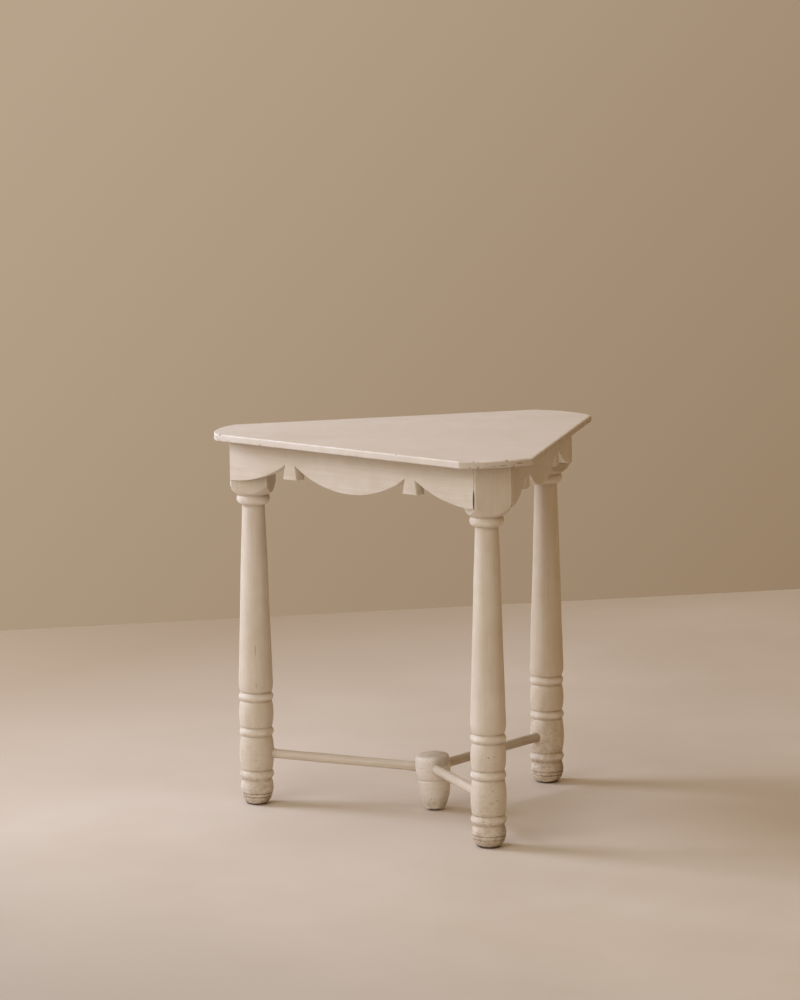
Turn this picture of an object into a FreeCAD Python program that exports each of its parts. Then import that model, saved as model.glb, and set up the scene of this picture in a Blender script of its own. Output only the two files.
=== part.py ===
import FreeCAD, Part
import math
import os

# Painted occasional table with a three-sided top. Three turned legs stand under its clipped corners,
# three scalloped aprons join their square heads, and three round stretchers meet in a turned hub.
# Millimetres, +Z up. The origin is on the floor under the middle of the top, front leg towards -Y.

# Whole table
TABLE_HEIGHT = 660.0
LEG_CIRCLE_RADIUS = 310.8  # table axis to the axis of each leg
LEG_NAMES = ("front", "right", "left")
SIDE_NAMES = ("right", "back", "front")  # each side follows the leg in the same place above
FRONT_LEG_ANGLE = -90.0
LEG_STEP_ANGLE = 120.0

# Top board
TOP_THICKNESS = 12.0
SIDE_OVERHANG = 35.5  # top past the outer face of an apron
CORNER_OVERHANG = 15.8  # top past the outer face of a leg's head, at the ends of the corner arc
CORNER_BULGE = 15.0  # rise of the corner arc over its chord
UPPER_ARRIS_RADIUS = 3.0
LOWER_ARRIS_RADIUS = 2.0

# Leg head, a square block with a turned shoulder
BLOCK_SIDE = 66.0
BLOCK_LENGTH = 88.7
SHOULDER_HEIGHT = 37.0  # of the arc that turns the arrises away
SHOULDER_BULGE = 5.0

# Neck bead and tapering column
NECK_DIAMETER = 53.0  # between the shoulder and the bead
NECK_BEAD_HEIGHT = 16.8
NECK_BEAD_FOOT_DIAMETER = 42.6
NECK_BEAD_BULGE = 5.0
COLUMN_TOP_DIAMETER = 39.7
COLUMN_BELLY_DIAMETER = 59.7
COLUMN_BELLY_RISE = 30.0  # belly above the upper ring
COLUMN_FOOT_BULGE = 1.2

# Rings, barrels and ball foot, heights from the floor
UPPER_RING_HEIGHT = 185.2
MIDDLE_RING_HEIGHT = 123.2
LOWER_RING_HEIGHT = 47.3
RING_DIAMETER = 60.5
RING_THICKNESS = 14.0
QUIRK_DIAMETER = 53.0
QUIRK_WIDTH = 1.5
BARREL_END_DIAMETER = 55.0
BARREL_BULGE = 2.7
FOOT_NECK_DIAMETER = 51.5
FOOT_BALL_DIAMETER = 59.0
FOOT_BALL_HEIGHT = 24.0
FOOT_FLAT_DIAMETER = 40.0
FOOT_GROOVE_HEIGHTS = {"upper": 22.5, "lower": 17.5}
FOOT_GROOVE_WIDTH = 1.8
FOOT_GROOVE_DEPTH = 0.9

# The legs were turned by eye: two have a lower neck than the front one, and the left one has higher rings
RIGHT_NECK_DROP = 3.0
LEFT_NECK_DROP = 12.0
LEFT_RING_LIFT = 6.5
NECK_DROPS = {"front": 0.0, "right": RIGHT_NECK_DROP, "left": LEFT_NECK_DROP}
RING_LIFTS = {"front": 0.0, "right": 0.0, "left": LEFT_RING_LIFT}

# Apron, depths below the top board
APRON_THICKNESS = 20.0
APRON_DEPTH = 72.0
NOTCH_DEPTH = 34.0
PENDANT_DEPTH = 59.3
PENDANT_TOP_WIDTH = 21.5
PENDANT_FOOT_WIDTH = 32.0
PENDANT_PLACE_SHARE = 0.49  # of half the apron's outer length

# Stretchers and hub
STRETCHER_DIAMETER = 16.5
LEG_SOCKET_DEPTH = 24.0
HUB_SOCKET_DEPTH = 20.0
SOCKET_CLEARANCE = 0.1
HUB_FLOOR_GAP = 5.0
HUB_HEIGHT = 92.0
HUB_WAIST_HEIGHT = 51.0  # groove above the hub's underside
HUB_SOCKET_SHARE = 0.45  # of the drum's height, up from the groove
HUB_DRUM_DIAMETER = 60.8
HUB_DRUM_FOOT_DIAMETER = 57.6
HUB_CROWN_DIAMETER = 57.2
HUB_CROWN_ROUND = 6.0
HUB_GROOVE_DIAMETER = 54.0
HUB_GROOVE_WIDTH = 2.4
HUB_CUP_DIAMETER = 57.0
HUB_FLAT_DIAMETER = 31.0
HUB_CUP_BULGE = 4.6

# Glue blocks under the top, with one screw each
GLUE_BLOCK_WIDTH = 22.0
GLUE_BLOCK_HEIGHT = 22.0
GLUE_BLOCK_LENGTH = 70.0
GLUE_BLOCK_BEVEL = 6.0
GLUE_BLOCK_PLACE_SHARE = 0.42  # of half the apron's inner length
SCREW_DIAMETER = 4.0
SCREW_HEAD_DIAMETER = 8.0
SCREW_HEAD_HEIGHT = 2.4
SCREW_BITE = 7.5  # into the top board

# Nails through the feathered apron ends into the leg heads
NAIL_DIAMETER = 2.6
NAIL_LENGTH = 40.0
NAIL_HEAD_DIAMETER = 5.4
NAIL_HEAD_THICKNESS = 1.2
NAIL_INSET = 22.0
NAIL_DEPTH_SHARES = (0.28, 0.73)  # of the apron's depth

FASTENER_CLEARANCE = 0.05
CUT_OVERRUN = 5.0
LEVEL_TOLERANCE = 0.001

# Places worked out from the sizes above
ORIGIN = FreeCAD.Vector(0, 0, 0)
UP = FreeCAD.Vector(0, 0, 1)
EIGHTH_TURN = math.pi / 4
LEG_BEARINGS = {}
SIDE_BEARINGS = {}
for place_number, (leg_name, side_name) in enumerate(zip(LEG_NAMES, SIDE_NAMES)):
    LEG_BEARINGS[leg_name] = FRONT_LEG_ANGLE + LEG_STEP_ANGLE * place_number
    SIDE_BEARINGS[side_name] = LEG_BEARINGS[leg_name] + LEG_STEP_ANGLE / 2
CORNER_ANGLE = math.radians(LEG_STEP_ANGLE / 2)
BLOCK_HALF = BLOCK_SIDE / 2
TOP_UNDERSIDE = TABLE_HEIGHT - TOP_THICKNESS
HEAD_FACE = LEG_CIRCLE_RADIUS + BLOCK_HALF
APRON_FACE = HEAD_FACE * math.cos(CORNER_ANGLE) + BLOCK_HALF * math.sin(CORNER_ANGLE)
APRON_HALF_LENGTH = HEAD_FACE * math.sin(CORNER_ANGLE) - BLOCK_HALF * math.cos(CORNER_ANGLE)
APRON_BACK = APRON_FACE - APRON_THICKNESS
APRON_BACK_HALF_LENGTH = APRON_HALF_LENGTH - APRON_THICKNESS * math.tan(CORNER_ANGLE)
TOP_SIDE = APRON_FACE + SIDE_OVERHANG
CORNER_CHORD = HEAD_FACE + CORNER_OVERHANG
CORNER_REACH = CORNER_CHORD + CORNER_BULGE
SIDE_HALF_LENGTH = (CORNER_CHORD - TOP_SIDE * math.cos(CORNER_ANGLE)) / math.sin(CORNER_ANGLE)
CORNER_HALF_CHORD = TOP_SIDE * math.sin(CORNER_ANGLE) - SIDE_HALF_LENGTH * math.cos(CORNER_ANGLE)
TABLE_AXIS = FreeCAD.Vector(0, (CORNER_REACH - TOP_SIDE) / 2, 0)
SOCKET_HEIGHT_AT_LEG = (LOWER_RING_HEIGHT + MIDDLE_RING_HEIGHT) / 2
DRUM_HEIGHT = HUB_HEIGHT - HUB_WAIST_HEIGHT
SOCKET_HEIGHT_AT_HUB = HUB_FLOOR_GAP + HUB_WAIST_HEIGHT + DRUM_HEIGHT * HUB_SOCKET_SHARE


def turned_to(shape, bearing):
    """A copy of a shape modelled along +X, swung about the table axis to a bearing."""
    copy = shape.copy()
    copy.rotate(ORIGIN, UP, bearing)
    return copy


def line(start, end):
    return Part.LineSegment(FreeCAD.Vector(*start), FreeCAD.Vector(*end)).toShape()


def arc_through(start, middle, end):
    return Part.Arc(FreeCAD.Vector(*start), FreeCAD.Vector(*middle), FreeCAD.Vector(*end)).toShape()


def bowed(start, end, bulge):
    """An arc in the X-Z plane whose middle stands off its chord to the left of travel, seen from -Y."""
    run = end[0] - start[0]
    rise = end[2] - start[2]
    chord = math.hypot(run, rise)
    middle_x = (start[0] + end[0]) / 2 - bulge * rise / chord
    middle_z = (start[2] + end[2]) / 2 + bulge * run / chord
    return arc_through(start, (middle_x, 0, middle_z), end)


def lathe(edges):
    """A solid of revolution about Z from a closed outline in the X-Z plane."""
    face = Part.Face(Part.Wire(edges))
    return face.revolve(ORIGIN, UP, 360)


def drilled(diameter, clearance, start, direction, length):
    """A round hole's cutter, wider than the pin that fills it by a clearance all round."""
    return Part.makeCylinder(diameter / 2 + clearance, length, start, direction)


def make_top():
    """One board: straight sides, each corner clipped by a bowed arc, arrises rounded over."""
    edges = []
    first = None
    last = None
    for bearing in LEG_BEARINGS.values():
        turn = FreeCAD.Rotation(UP, bearing)
        start = turn.multVec(FreeCAD.Vector(CORNER_CHORD, -CORNER_HALF_CHORD, TOP_UNDERSIDE))
        crown = turn.multVec(FreeCAD.Vector(CORNER_REACH, 0, TOP_UNDERSIDE))
        end = turn.multVec(FreeCAD.Vector(CORNER_CHORD, CORNER_HALF_CHORD, TOP_UNDERSIDE))
        if last is None:
            first = start
        else:
            edges.append(line(last, start))
        edges.append(arc_through(start, crown, end))
        last = end
    edges.append(line(last, first))
    board = Part.Face(Part.Wire(edges)).extrude(UP * TOP_THICKNESS)
    board = rounded_rim(board, TABLE_HEIGHT, UPPER_ARRIS_RADIUS)
    board = rounded_rim(board, TOP_UNDERSIDE, LOWER_ARRIS_RADIUS)
    for bearing in SIDE_BEARINGS.values():
        for hand in (-1, 1):
            board = board.cut(turned_to(screw(hand, FASTENER_CLEARANCE), bearing))
    return board


def rounded_rim(board, height, radius):
    """Rounds every edge of a board that lies wholly at one height."""
    rim = []
    for edge in board.Edges:
        heights = [vertex.Point.z for vertex in edge.Vertexes]
        if max(abs(z - height) for z in heights) < LEVEL_TOLERANCE:
            rim.append(edge)
    return board.makeFillet(radius, rim)


def turned_outline(neck_drop, ring_lift):
    """Half outline of the turned part of a leg, from under its head down to the floor."""
    neck = TOP_UNDERSIDE - BLOCK_LENGTH - neck_drop
    column_top = neck - NECK_BEAD_HEIGHT
    quirk = QUIRK_DIAMETER / 2
    barrel_end = BARREL_END_DIAMETER / 2
    ring_half = RING_THICKNESS / 2
    ring_heights = [UPPER_RING_HEIGHT, MIDDLE_RING_HEIGHT, LOWER_RING_HEIGHT]
    rings = [height + ring_lift for height in ring_heights]
    belly = (COLUMN_BELLY_DIAMETER / 2, 0, rings[0] + COLUMN_BELLY_RISE)
    column_foot = (barrel_end, 0, rings[0] + ring_half + QUIRK_WIDTH)
    bead_start = (NECK_DIAMETER / 2, 0, neck)
    bead_end = (NECK_BEAD_FOOT_DIAMETER / 2, 0, column_top)
    shaft_start = (COLUMN_TOP_DIAMETER / 2, 0, column_top)
    edges = [line((0, 0, neck), bead_start)]
    edges.append(bowed(bead_start, bead_end, NECK_BEAD_BULGE))
    edges.append(line(bead_end, shaft_start))
    edges.append(line(shaft_start, belly))
    edges.append(bowed(belly, column_foot, COLUMN_FOOT_BULGE))
    last = column_foot
    for number, ring in enumerate(rings):
        above = (quirk, 0, ring + ring_half + QUIRK_WIDTH)
        upper = (quirk, 0, ring + ring_half)
        lower = (quirk, 0, ring - ring_half)
        below = (quirk, 0, ring - ring_half - QUIRK_WIDTH)
        edges.append(line(last, above))
        edges.append(line(above, upper))
        edges.append(bowed(upper, lower, RING_DIAMETER / 2 - quirk))
        edges.append(line(lower, below))
        last = below
        if number + 1 < len(rings):
            barrel_top = (barrel_end, 0, below[2])
            barrel_foot = (barrel_end, 0, rings[number + 1] + ring_half + QUIRK_WIDTH)
            edges.append(line(below, barrel_top))
            edges.append(bowed(barrel_top, barrel_foot, BARREL_BULGE))
            last = barrel_foot
    foot_neck = (FOOT_NECK_DIAMETER / 2, 0, last[2])
    edges.append(line(last, foot_neck))
    edges.extend(foot_outline(foot_neck))
    edges.append(line((FOOT_FLAT_DIAMETER / 2, 0, 0), (0, 0, 0)))
    return edges


def foot_outline(neck):
    """Round side of the ball foot, from the quirk under the lowest ring to the floor, with incised lines."""
    ball = (FOOT_BALL_DIAMETER / 2, 0, FOOT_BALL_HEIGHT)
    flat = (FOOT_FLAT_DIAMETER / 2, 0, 0)
    circle = arc_through(neck, ball, flat).Curve
    edges = []
    last = neck
    for height in FOOT_GROOVE_HEIGHTS.values():
        upper = on_foot(circle, height + FOOT_GROOVE_WIDTH / 2)
        root = (on_foot(circle, height)[0] - FOOT_GROOVE_DEPTH, 0, height)
        lower = on_foot(circle, height - FOOT_GROOVE_WIDTH / 2)
        edges.append(arc_through(last, on_foot(circle, (last[2] + upper[2]) / 2), upper))
        edges.append(line(upper, root))
        edges.append(line(root, lower))
        last = lower
    edges.append(arc_through(last, on_foot(circle, (last[2] + flat[2]) / 2), flat))
    return edges


def on_foot(circle, height):
    """Point of the ball foot's round side at a height."""
    reach = math.sqrt(circle.Radius ** 2 - (height - circle.Center.z) ** 2)
    return (circle.Center.x + reach, 0, height)


def make_head(neck_drop):
    """Square block whose lower arrises were turned away to a convex shoulder."""
    neck = TOP_UNDERSIDE - BLOCK_LENGTH - neck_drop
    length = BLOCK_LENGTH + neck_drop
    corner = FreeCAD.Vector(-BLOCK_HALF, -BLOCK_HALF, neck)
    block = Part.makeBox(BLOCK_SIDE, BLOCK_SIDE, length, corner)
    outer = math.hypot(BLOCK_HALF, BLOCK_HALF) + CUT_OVERRUN
    foot = (NECK_DIAMETER / 2, 0, neck)
    shoulder = (outer, 0, neck + SHOULDER_HEIGHT)
    rim = (outer, 0, TOP_UNDERSIDE + CUT_OVERRUN)
    middle = (0, 0, TOP_UNDERSIDE + CUT_OVERRUN)
    edges = [line((0, 0, neck), foot)]
    edges.append(bowed(foot, shoulder, -SHOULDER_BULGE))
    edges.append(line(shoulder, rim))
    edges.append(line(rim, middle))
    edges.append(line(middle, (0, 0, neck)))
    return block.common(lathe(edges))


def make_leg(name):
    """Head and turned part in one, with the stretcher's socket and the nails' holes."""
    neck_drop = NECK_DROPS[name]
    ring_lift = RING_LIFTS[name]
    edges = turned_outline(neck_drop, ring_lift)
    edges.append(line((0, 0, 0), (0, 0, TOP_UNDERSIDE - BLOCK_LENGTH - neck_drop)))
    leg = make_head(neck_drop).fuse(lathe(edges)).removeSplitter()
    leg.translate(FreeCAD.Vector(LEG_CIRCLE_RADIUS, 0, 0))
    start, direction, length = stretcher_line(ring_lift)
    leg = leg.cut(drilled(STRETCHER_DIAMETER, SOCKET_CLEARANCE, start, direction, length))
    leg = turned_to(leg, LEG_BEARINGS[name])
    for nail_hole in all_nails(FASTENER_CLEARANCE):
        if nail_hole.BoundBox.intersect(leg.BoundBox):
            leg = leg.cut(nail_hole)
    return leg


def apron_outline():
    """Apron face in the Y-Z plane: half lobe, pendant, full lobe, pendant, half lobe."""
    low = TOP_UNDERSIDE - APRON_DEPTH
    notch = TOP_UNDERSIDE - NOTCH_DEPTH
    foot = TOP_UNDERSIDE - PENDANT_DEPTH
    place = APRON_HALF_LENGTH * PENDANT_PLACE_SHARE
    inner = place - PENDANT_TOP_WIDTH / 2
    outer = place + PENDANT_TOP_WIDTH / 2
    foot_inner = place - PENDANT_FOOT_WIDTH / 2
    foot_outer = place + PENDANT_FOOT_WIDTH / 2
    end = APRON_HALF_LENGTH
    edges = [line((0, -end, TOP_UNDERSIDE), (0, -end, low))]
    edges.append(half_lobe(-end, low, -outer, notch))
    edges.append(line((0, -outer, notch), (0, -foot_outer, foot)))
    edges.append(line((0, -foot_outer, foot), (0, -foot_inner, foot)))
    edges.append(line((0, -foot_inner, foot), (0, -inner, notch)))
    edges.append(arc_through((0, -inner, notch), (0, 0, low), (0, inner, notch)))
    edges.append(line((0, inner, notch), (0, foot_inner, foot)))
    edges.append(line((0, foot_inner, foot), (0, foot_outer, foot)))
    edges.append(line((0, foot_outer, foot), (0, outer, notch)))
    edges.append(half_lobe(end, low, outer, notch))
    edges.append(line((0, end, low), (0, end, TOP_UNDERSIDE)))
    edges.append(line((0, end, TOP_UNDERSIDE), (0, -end, TOP_UNDERSIDE)))
    return edges


def half_lobe(end, low, start, notch):
    """Arc from an apron's end, where it is level, up to the notch beside a pendant."""
    run = start - end
    rise = notch - low
    radius = (run ** 2 + rise ** 2) / (2 * rise)
    sweep = math.asin(abs(run) / radius) / 2
    middle_y = end + math.copysign(radius * math.sin(sweep), run)
    middle_z = low + radius * (1 - math.cos(sweep))
    return arc_through((0, end, low), (0, middle_y, middle_z), (0, start, notch))


def make_apron(side):
    """Scalloped board, feathered at both ends to lie against the side faces of two leg heads."""
    face = Part.Face(Part.Wire(apron_outline()))
    face.translate(FreeCAD.Vector(APRON_BACK, 0, 0))
    board = face.extrude(FreeCAD.Vector(APRON_THICKNESS, 0, 0))
    depth = APRON_DEPTH + CUT_OVERRUN * 2
    corner = FreeCAD.Vector(0, -BLOCK_HALF, TOP_UNDERSIDE - APRON_DEPTH - CUT_OVERRUN)
    slot = Part.makeBox(CORNER_REACH, BLOCK_SIDE, depth, corner)
    for turn in (-math.degrees(CORNER_ANGLE), math.degrees(CORNER_ANGLE)):
        board = board.cut(turned_to(slot, turn))
    for nail_hole in side_nails(FASTENER_CLEARANCE):
        board = board.cut(nail_hole)
    return turned_to(board, SIDE_BEARINGS[side])


def nail(place, height, clearance):
    """A flat-headed nail square to the apron's face, its head flush with that face."""
    inward = FreeCAD.Vector(-1, 0, 0)
    start = FreeCAD.Vector(APRON_FACE, place, height)
    head = drilled(NAIL_HEAD_DIAMETER, clearance, start, inward, NAIL_HEAD_THICKNESS)
    shank = drilled(NAIL_DIAMETER, clearance, start, inward, NAIL_LENGTH)
    return head.fuse(shank).removeSplitter()


def side_nails(clearance):
    """Two nails at each end of one apron, modelled along +X."""
    nails = []
    for place in (NAIL_INSET - APRON_HALF_LENGTH, APRON_HALF_LENGTH - NAIL_INSET):
        for share in NAIL_DEPTH_SHARES:
            nails.append(nail(place, TOP_UNDERSIDE - APRON_DEPTH * share, clearance))
    return nails


def all_nails(clearance):
    nails = []
    for bearing in SIDE_BEARINGS.values():
        for one in side_nails(clearance):
            nails.append(turned_to(one, bearing))
    return nails


def stretcher_line(ring_lift):
    """Start, direction and length of a stretcher, from inside the hub to inside a leg along +X."""
    hub_end = FreeCAD.Vector(0, 0, SOCKET_HEIGHT_AT_HUB)
    leg_end = FreeCAD.Vector(LEG_CIRCLE_RADIUS, 0, SOCKET_HEIGHT_AT_LEG + ring_lift)
    direction = leg_end.sub(hub_end)
    reach = direction.Length
    direction.normalize()
    inner = HUB_DRUM_DIAMETER / 2 - HUB_SOCKET_DEPTH
    outer = reach - BARREL_END_DIAMETER / 2 - BARREL_BULGE + LEG_SOCKET_DEPTH
    return hub_end.add(direction * inner), direction, outer - inner


def make_stretcher(name):
    start, direction, length = stretcher_line(RING_LIFTS[name])
    dowel = Part.makeCylinder(STRETCHER_DIAMETER / 2, length, start, direction)
    return turned_to(dowel, LEG_BEARINGS[name])


def make_hub():
    """Turned drum with a rounded crown, a groove and a tapering cup, bored for the stretchers."""
    base = HUB_FLOOR_GAP
    waist = base + HUB_WAIST_HEIGHT
    top = base + HUB_HEIGHT
    groove_half = HUB_GROOVE_WIDTH / 2
    groove = HUB_GROOVE_DIAMETER / 2
    flat = (HUB_FLAT_DIAMETER / 2, 0, base)
    cup = (HUB_CUP_DIAMETER / 2, 0, waist - groove_half)
    drum_foot = (HUB_DRUM_FOOT_DIAMETER / 2, 0, waist + groove_half)
    crown = (HUB_CROWN_DIAMETER / 2, 0, top - HUB_CROWN_ROUND)
    drum_middle = (HUB_DRUM_DIAMETER / 2, 0, (drum_foot[2] + crown[2]) / 2)
    rim = (HUB_CROWN_DIAMETER / 2 - HUB_CROWN_ROUND, 0, top)
    round_bulge = HUB_CROWN_ROUND * (1 - math.cos(EIGHTH_TURN))
    edges = [line((0, 0, base), flat)]
    edges.append(bowed(flat, cup, -HUB_CUP_BULGE))
    edges.append(line(cup, (groove, 0, cup[2])))
    edges.append(line((groove, 0, cup[2]), (groove, 0, drum_foot[2])))
    edges.append(line((groove, 0, drum_foot[2]), drum_foot))
    edges.append(arc_through(drum_foot, drum_middle, crown))
    edges.append(bowed(crown, rim, -round_bulge))
    edges.append(line(rim, (0, 0, top)))
    edges.append(line((0, 0, top), (0, 0, base)))
    hub = lathe(edges)
    for name, bearing in LEG_BEARINGS.items():
        start, direction, length = stretcher_line(RING_LIFTS[name])
        socket = drilled(STRETCHER_DIAMETER, SOCKET_CLEARANCE, start, direction, length)
        hub = hub.cut(turned_to(socket, bearing))
    return hub


def glue_block_middle(hand):
    """Middle of a glue block's upper face, modelled along +X."""
    place = hand * APRON_BACK_HALF_LENGTH * GLUE_BLOCK_PLACE_SHARE
    return FreeCAD.Vector(APRON_BACK - GLUE_BLOCK_WIDTH / 2, place, TOP_UNDERSIDE)


def screw(hand, clearance):
    """Countersunk screw up through the middle of a glue block into the top board."""
    start = glue_block_middle(hand) - UP * GLUE_BLOCK_HEIGHT
    head_radius = SCREW_HEAD_DIAMETER / 2 + clearance
    shank_radius = SCREW_DIAMETER / 2 + clearance
    head = Part.makeCone(head_radius, shank_radius, SCREW_HEAD_HEIGHT, start, UP)
    length = GLUE_BLOCK_HEIGHT + SCREW_BITE
    shank = Part.makeCylinder(shank_radius, length, start, UP)
    return head.fuse(shank).removeSplitter()


def make_glue_block(side, hand):
    """Softwood block in the angle of apron and top, its free lower arris bevelled off."""
    middle = glue_block_middle(hand)
    near = APRON_BACK
    far = APRON_BACK - GLUE_BLOCK_WIDTH
    low = TOP_UNDERSIDE - GLUE_BLOCK_HEIGHT
    end = middle.y - GLUE_BLOCK_LENGTH / 2
    corners = [
        FreeCAD.Vector(near, end, TOP_UNDERSIDE),
        FreeCAD.Vector(near, end, low),
        FreeCAD.Vector(far + GLUE_BLOCK_BEVEL, end, low),
        FreeCAD.Vector(far, end, low + GLUE_BLOCK_BEVEL),
        FreeCAD.Vector(far, end, TOP_UNDERSIDE),
    ]
    section = Part.Face(Part.makePolygon(corners + corners[:1]))
    block = section.extrude(FreeCAD.Vector(0, GLUE_BLOCK_LENGTH, 0))
    block = block.cut(screw(hand, FASTENER_CLEARANCE))
    return turned_to(block, SIDE_BEARINGS[side])


def make_screws():
    screws = []
    for bearing in SIDE_BEARINGS.values():
        for hand in (-1, 1):
            screws.append(turned_to(screw(hand, 0), bearing))
    return Part.makeCompound(screws)


def save(name, shape):
    """Sets a finished piece on the table axis and writes it."""
    placed = shape.copy()
    placed.translate(TABLE_AXIS)
    placed.exportStep("parts/" + name + ".step")
    box = placed.BoundBox
    print(name, "solids", len(placed.Solids), "valid", placed.isValid(), "size",
          round(box.XLength, 1), round(box.YLength, 1), round(box.ZLength, 1))


os.makedirs("parts", exist_ok=True)
save("table_top", make_top())
for leg_name in LEG_BEARINGS:
    save("leg_" + leg_name, make_leg(leg_name))
    save("stretcher_" + leg_name, make_stretcher(leg_name))
save("stretcher_hub", make_hub())
for side_name in SIDE_BEARINGS:
    save("apron_" + side_name, make_apron(side_name))
    for hand_name, hand_sign in (("left", -1), ("right", 1)):
        save("glue_block_" + side_name + "_" + hand_name, make_glue_block(side_name, hand_sign))
save("apron_nails", Part.makeCompound(all_nails(0)))
save("glue_block_screws", make_screws())
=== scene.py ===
# %% [markdown]
# A small occasional table with a three-sided top, painted cream all over and rubbed by use.
# The imported CAD model gives every place and size, so it is loaded first and stays fixed.
# What this script adds is what a maker's hand and a hundred years add: softened corners,
# uneven turning, brush marks, chips and grime, with some light and shade painted into the colour.

# %% Load the imported table
import math

import bmesh
import bpy
import numpy as np
from mathutils import Matrix, Vector


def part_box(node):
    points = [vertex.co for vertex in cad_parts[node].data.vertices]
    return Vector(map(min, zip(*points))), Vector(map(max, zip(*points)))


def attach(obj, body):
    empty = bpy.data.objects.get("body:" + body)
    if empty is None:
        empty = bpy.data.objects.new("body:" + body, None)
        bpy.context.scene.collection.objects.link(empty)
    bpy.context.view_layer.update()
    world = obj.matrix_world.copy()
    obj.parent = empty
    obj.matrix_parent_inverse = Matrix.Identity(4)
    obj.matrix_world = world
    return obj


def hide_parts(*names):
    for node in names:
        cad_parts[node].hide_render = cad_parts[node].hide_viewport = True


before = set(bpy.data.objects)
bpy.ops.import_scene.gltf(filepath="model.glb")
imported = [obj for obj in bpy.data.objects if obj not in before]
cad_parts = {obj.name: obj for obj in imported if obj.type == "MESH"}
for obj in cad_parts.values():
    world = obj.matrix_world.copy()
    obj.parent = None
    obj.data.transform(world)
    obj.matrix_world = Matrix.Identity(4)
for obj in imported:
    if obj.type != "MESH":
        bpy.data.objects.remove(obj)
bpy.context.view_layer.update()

# %% [markdown]
# Everything on this table is set out from one upright axis through the hub, with a leg every
# third of a turn and a side between two legs. Reading the axis and the main levels from the
# packed boxes keeps the new pieces on the solids that they stand for.

# %% Axis, levels and bearings
top_low, top_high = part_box("table_top")
hub_low, hub_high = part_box("stretcher_hub")
leg_low, leg_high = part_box("leg_front")
AXIS = (hub_low + hub_high) / 2
UNDER_TOP = top_low.z
TABLE_HEIGHT = top_high.z
LEG_CIRCLE = AXIS.y - (leg_low.y + leg_high.y) / 2
LEG_BEARINGS = {"front": -90.0, "right": 30.0, "left": 150.0}
SIDE_BEARINGS = {"front": 210.0, "right": -30.0, "back": 90.0}


def swung(points, bearing):
    """Points laid out along +X from the axis, swung about it to a bearing in degrees."""
    turn = math.radians(bearing)
    points = np.asarray(points, float)
    x = points[:, 0] * math.cos(turn) - points[:, 1] * math.sin(turn)
    y = points[:, 0] * math.sin(turn) + points[:, 1] * math.cos(turn)
    return np.stack([AXIS.x + x, AXIS.y + y, points[:, 2]], axis=1)


print("axis", round(AXIS.y, 4), "leg circle", round(LEG_CIRCLE, 4), "height", round(TABLE_HEIGHT, 4))

# %% [markdown]
# The camera comes before the pieces. A long lens far away keeps the legs nearly parallel. Its
# place, turn, tilt and slight roll were found by fitting the leg rings and the corners of the top.

# %% Camera at the photograph's angle
CAMERA_PLACE = Vector((-2.4311, -7.3958, 1.6951))
CAMERA_TURN = math.radians(-17.680)
CAMERA_TILT = math.radians(-8.3397)
CAMERA_ROLL = math.radians(-0.5384)
CAMERA_LENS = 165.94

level_ahead = Vector((-math.sin(CAMERA_TURN), math.cos(CAMERA_TURN), 0))
level_right = Vector((math.cos(CAMERA_TURN), math.sin(CAMERA_TURN), 0))
upright = Vector((0, 0, 1))
ahead = level_ahead * math.cos(CAMERA_TILT) + upright * math.sin(CAMERA_TILT)
above = upright * math.cos(CAMERA_TILT) - level_ahead * math.sin(CAMERA_TILT)
camera_right = level_right * math.cos(CAMERA_ROLL) + above * math.sin(CAMERA_ROLL)
camera_up = above * math.cos(CAMERA_ROLL) - level_right * math.sin(CAMERA_ROLL)

camera = bpy.data.objects.new("camera", bpy.data.cameras.new("camera"))
camera.data.lens = CAMERA_LENS
camera.data.clip_end = 60
stance = Matrix((camera_right, camera_up, -ahead)).transposed().to_4x4()
stance.translation = CAMERA_PLACE
camera.matrix_world = stance
bpy.context.scene.collection.objects.link(camera)
bpy.context.scene.camera = camera
print("camera", [round(v, 3) for v in camera.location], "lens", camera.data.lens)

# %% [markdown]
# Every piece carries two numbers at each of its points, which the paint reads later. "wear" is
# above zero where the form stands proud and hands or feet rub it, and below zero in hollows that
# collect grime. Along the edge of the top that faces away from the light it also carries painted
# shade, and a painted highlight on the upper arris. "bare" is one where there is no paint. Keeping
# them on the mesh, and not in a picture, means that they follow the form exactly.

# %% Making a piece from points and faces
CREASE_ANGLE = math.radians(38)


def make_piece(name, points, faces, wear, bare, slot, *nodes):
    """A smooth-shaded mesh that rides on the table and stands for the given CAD nodes."""
    mesh = bpy.data.meshes.new(name)
    mesh.from_pydata([tuple(point) for point in points], [], faces)
    mesh.polygons.foreach_set("use_smooth", [True] * len(mesh.polygons))
    mesh.set_sharp_from_angle(angle=CREASE_ANGLE)
    for label, values in (("wear", wear), ("bare", bare)):
        layer = mesh.attributes.new(label, "FLOAT", "POINT")
        layer.data.foreach_set("value", np.asarray(values, np.float32).ravel())
    piece = bpy.data.objects.new(name, mesh)
    bpy.context.scene.collection.objects.link(piece)
    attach(piece, "root")
    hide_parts(*nodes)
    print(name, "points", len(mesh.vertices), "faces", len(mesh.polygons))
    return piece


def as_points(x, y, z):
    """Rows of (x, y, z) from three grids of numbers."""
    return np.stack([x.ravel(), y.ravel(), z.ravel()], axis=1)


def tube_faces(rows, columns):
    """Quads over rings of points, from the upper ring down, with a cap at each end."""
    faces = []
    for row in range(rows - 1):
        here = row * columns
        below = here + columns
        for column in range(columns):
            after = (column + 1) % columns
            faces.append((here + column, below + column, below + after, here + after))
    faces.append(tuple(range(columns)))
    last = (rows - 1) * columns
    faces.append(tuple(range(last + columns - 1, last - 1, -1)))
    return faces


pieces = {}
print("creases sharper than", round(math.degrees(CREASE_ANGLE)), "degrees stay crisp")

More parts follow.
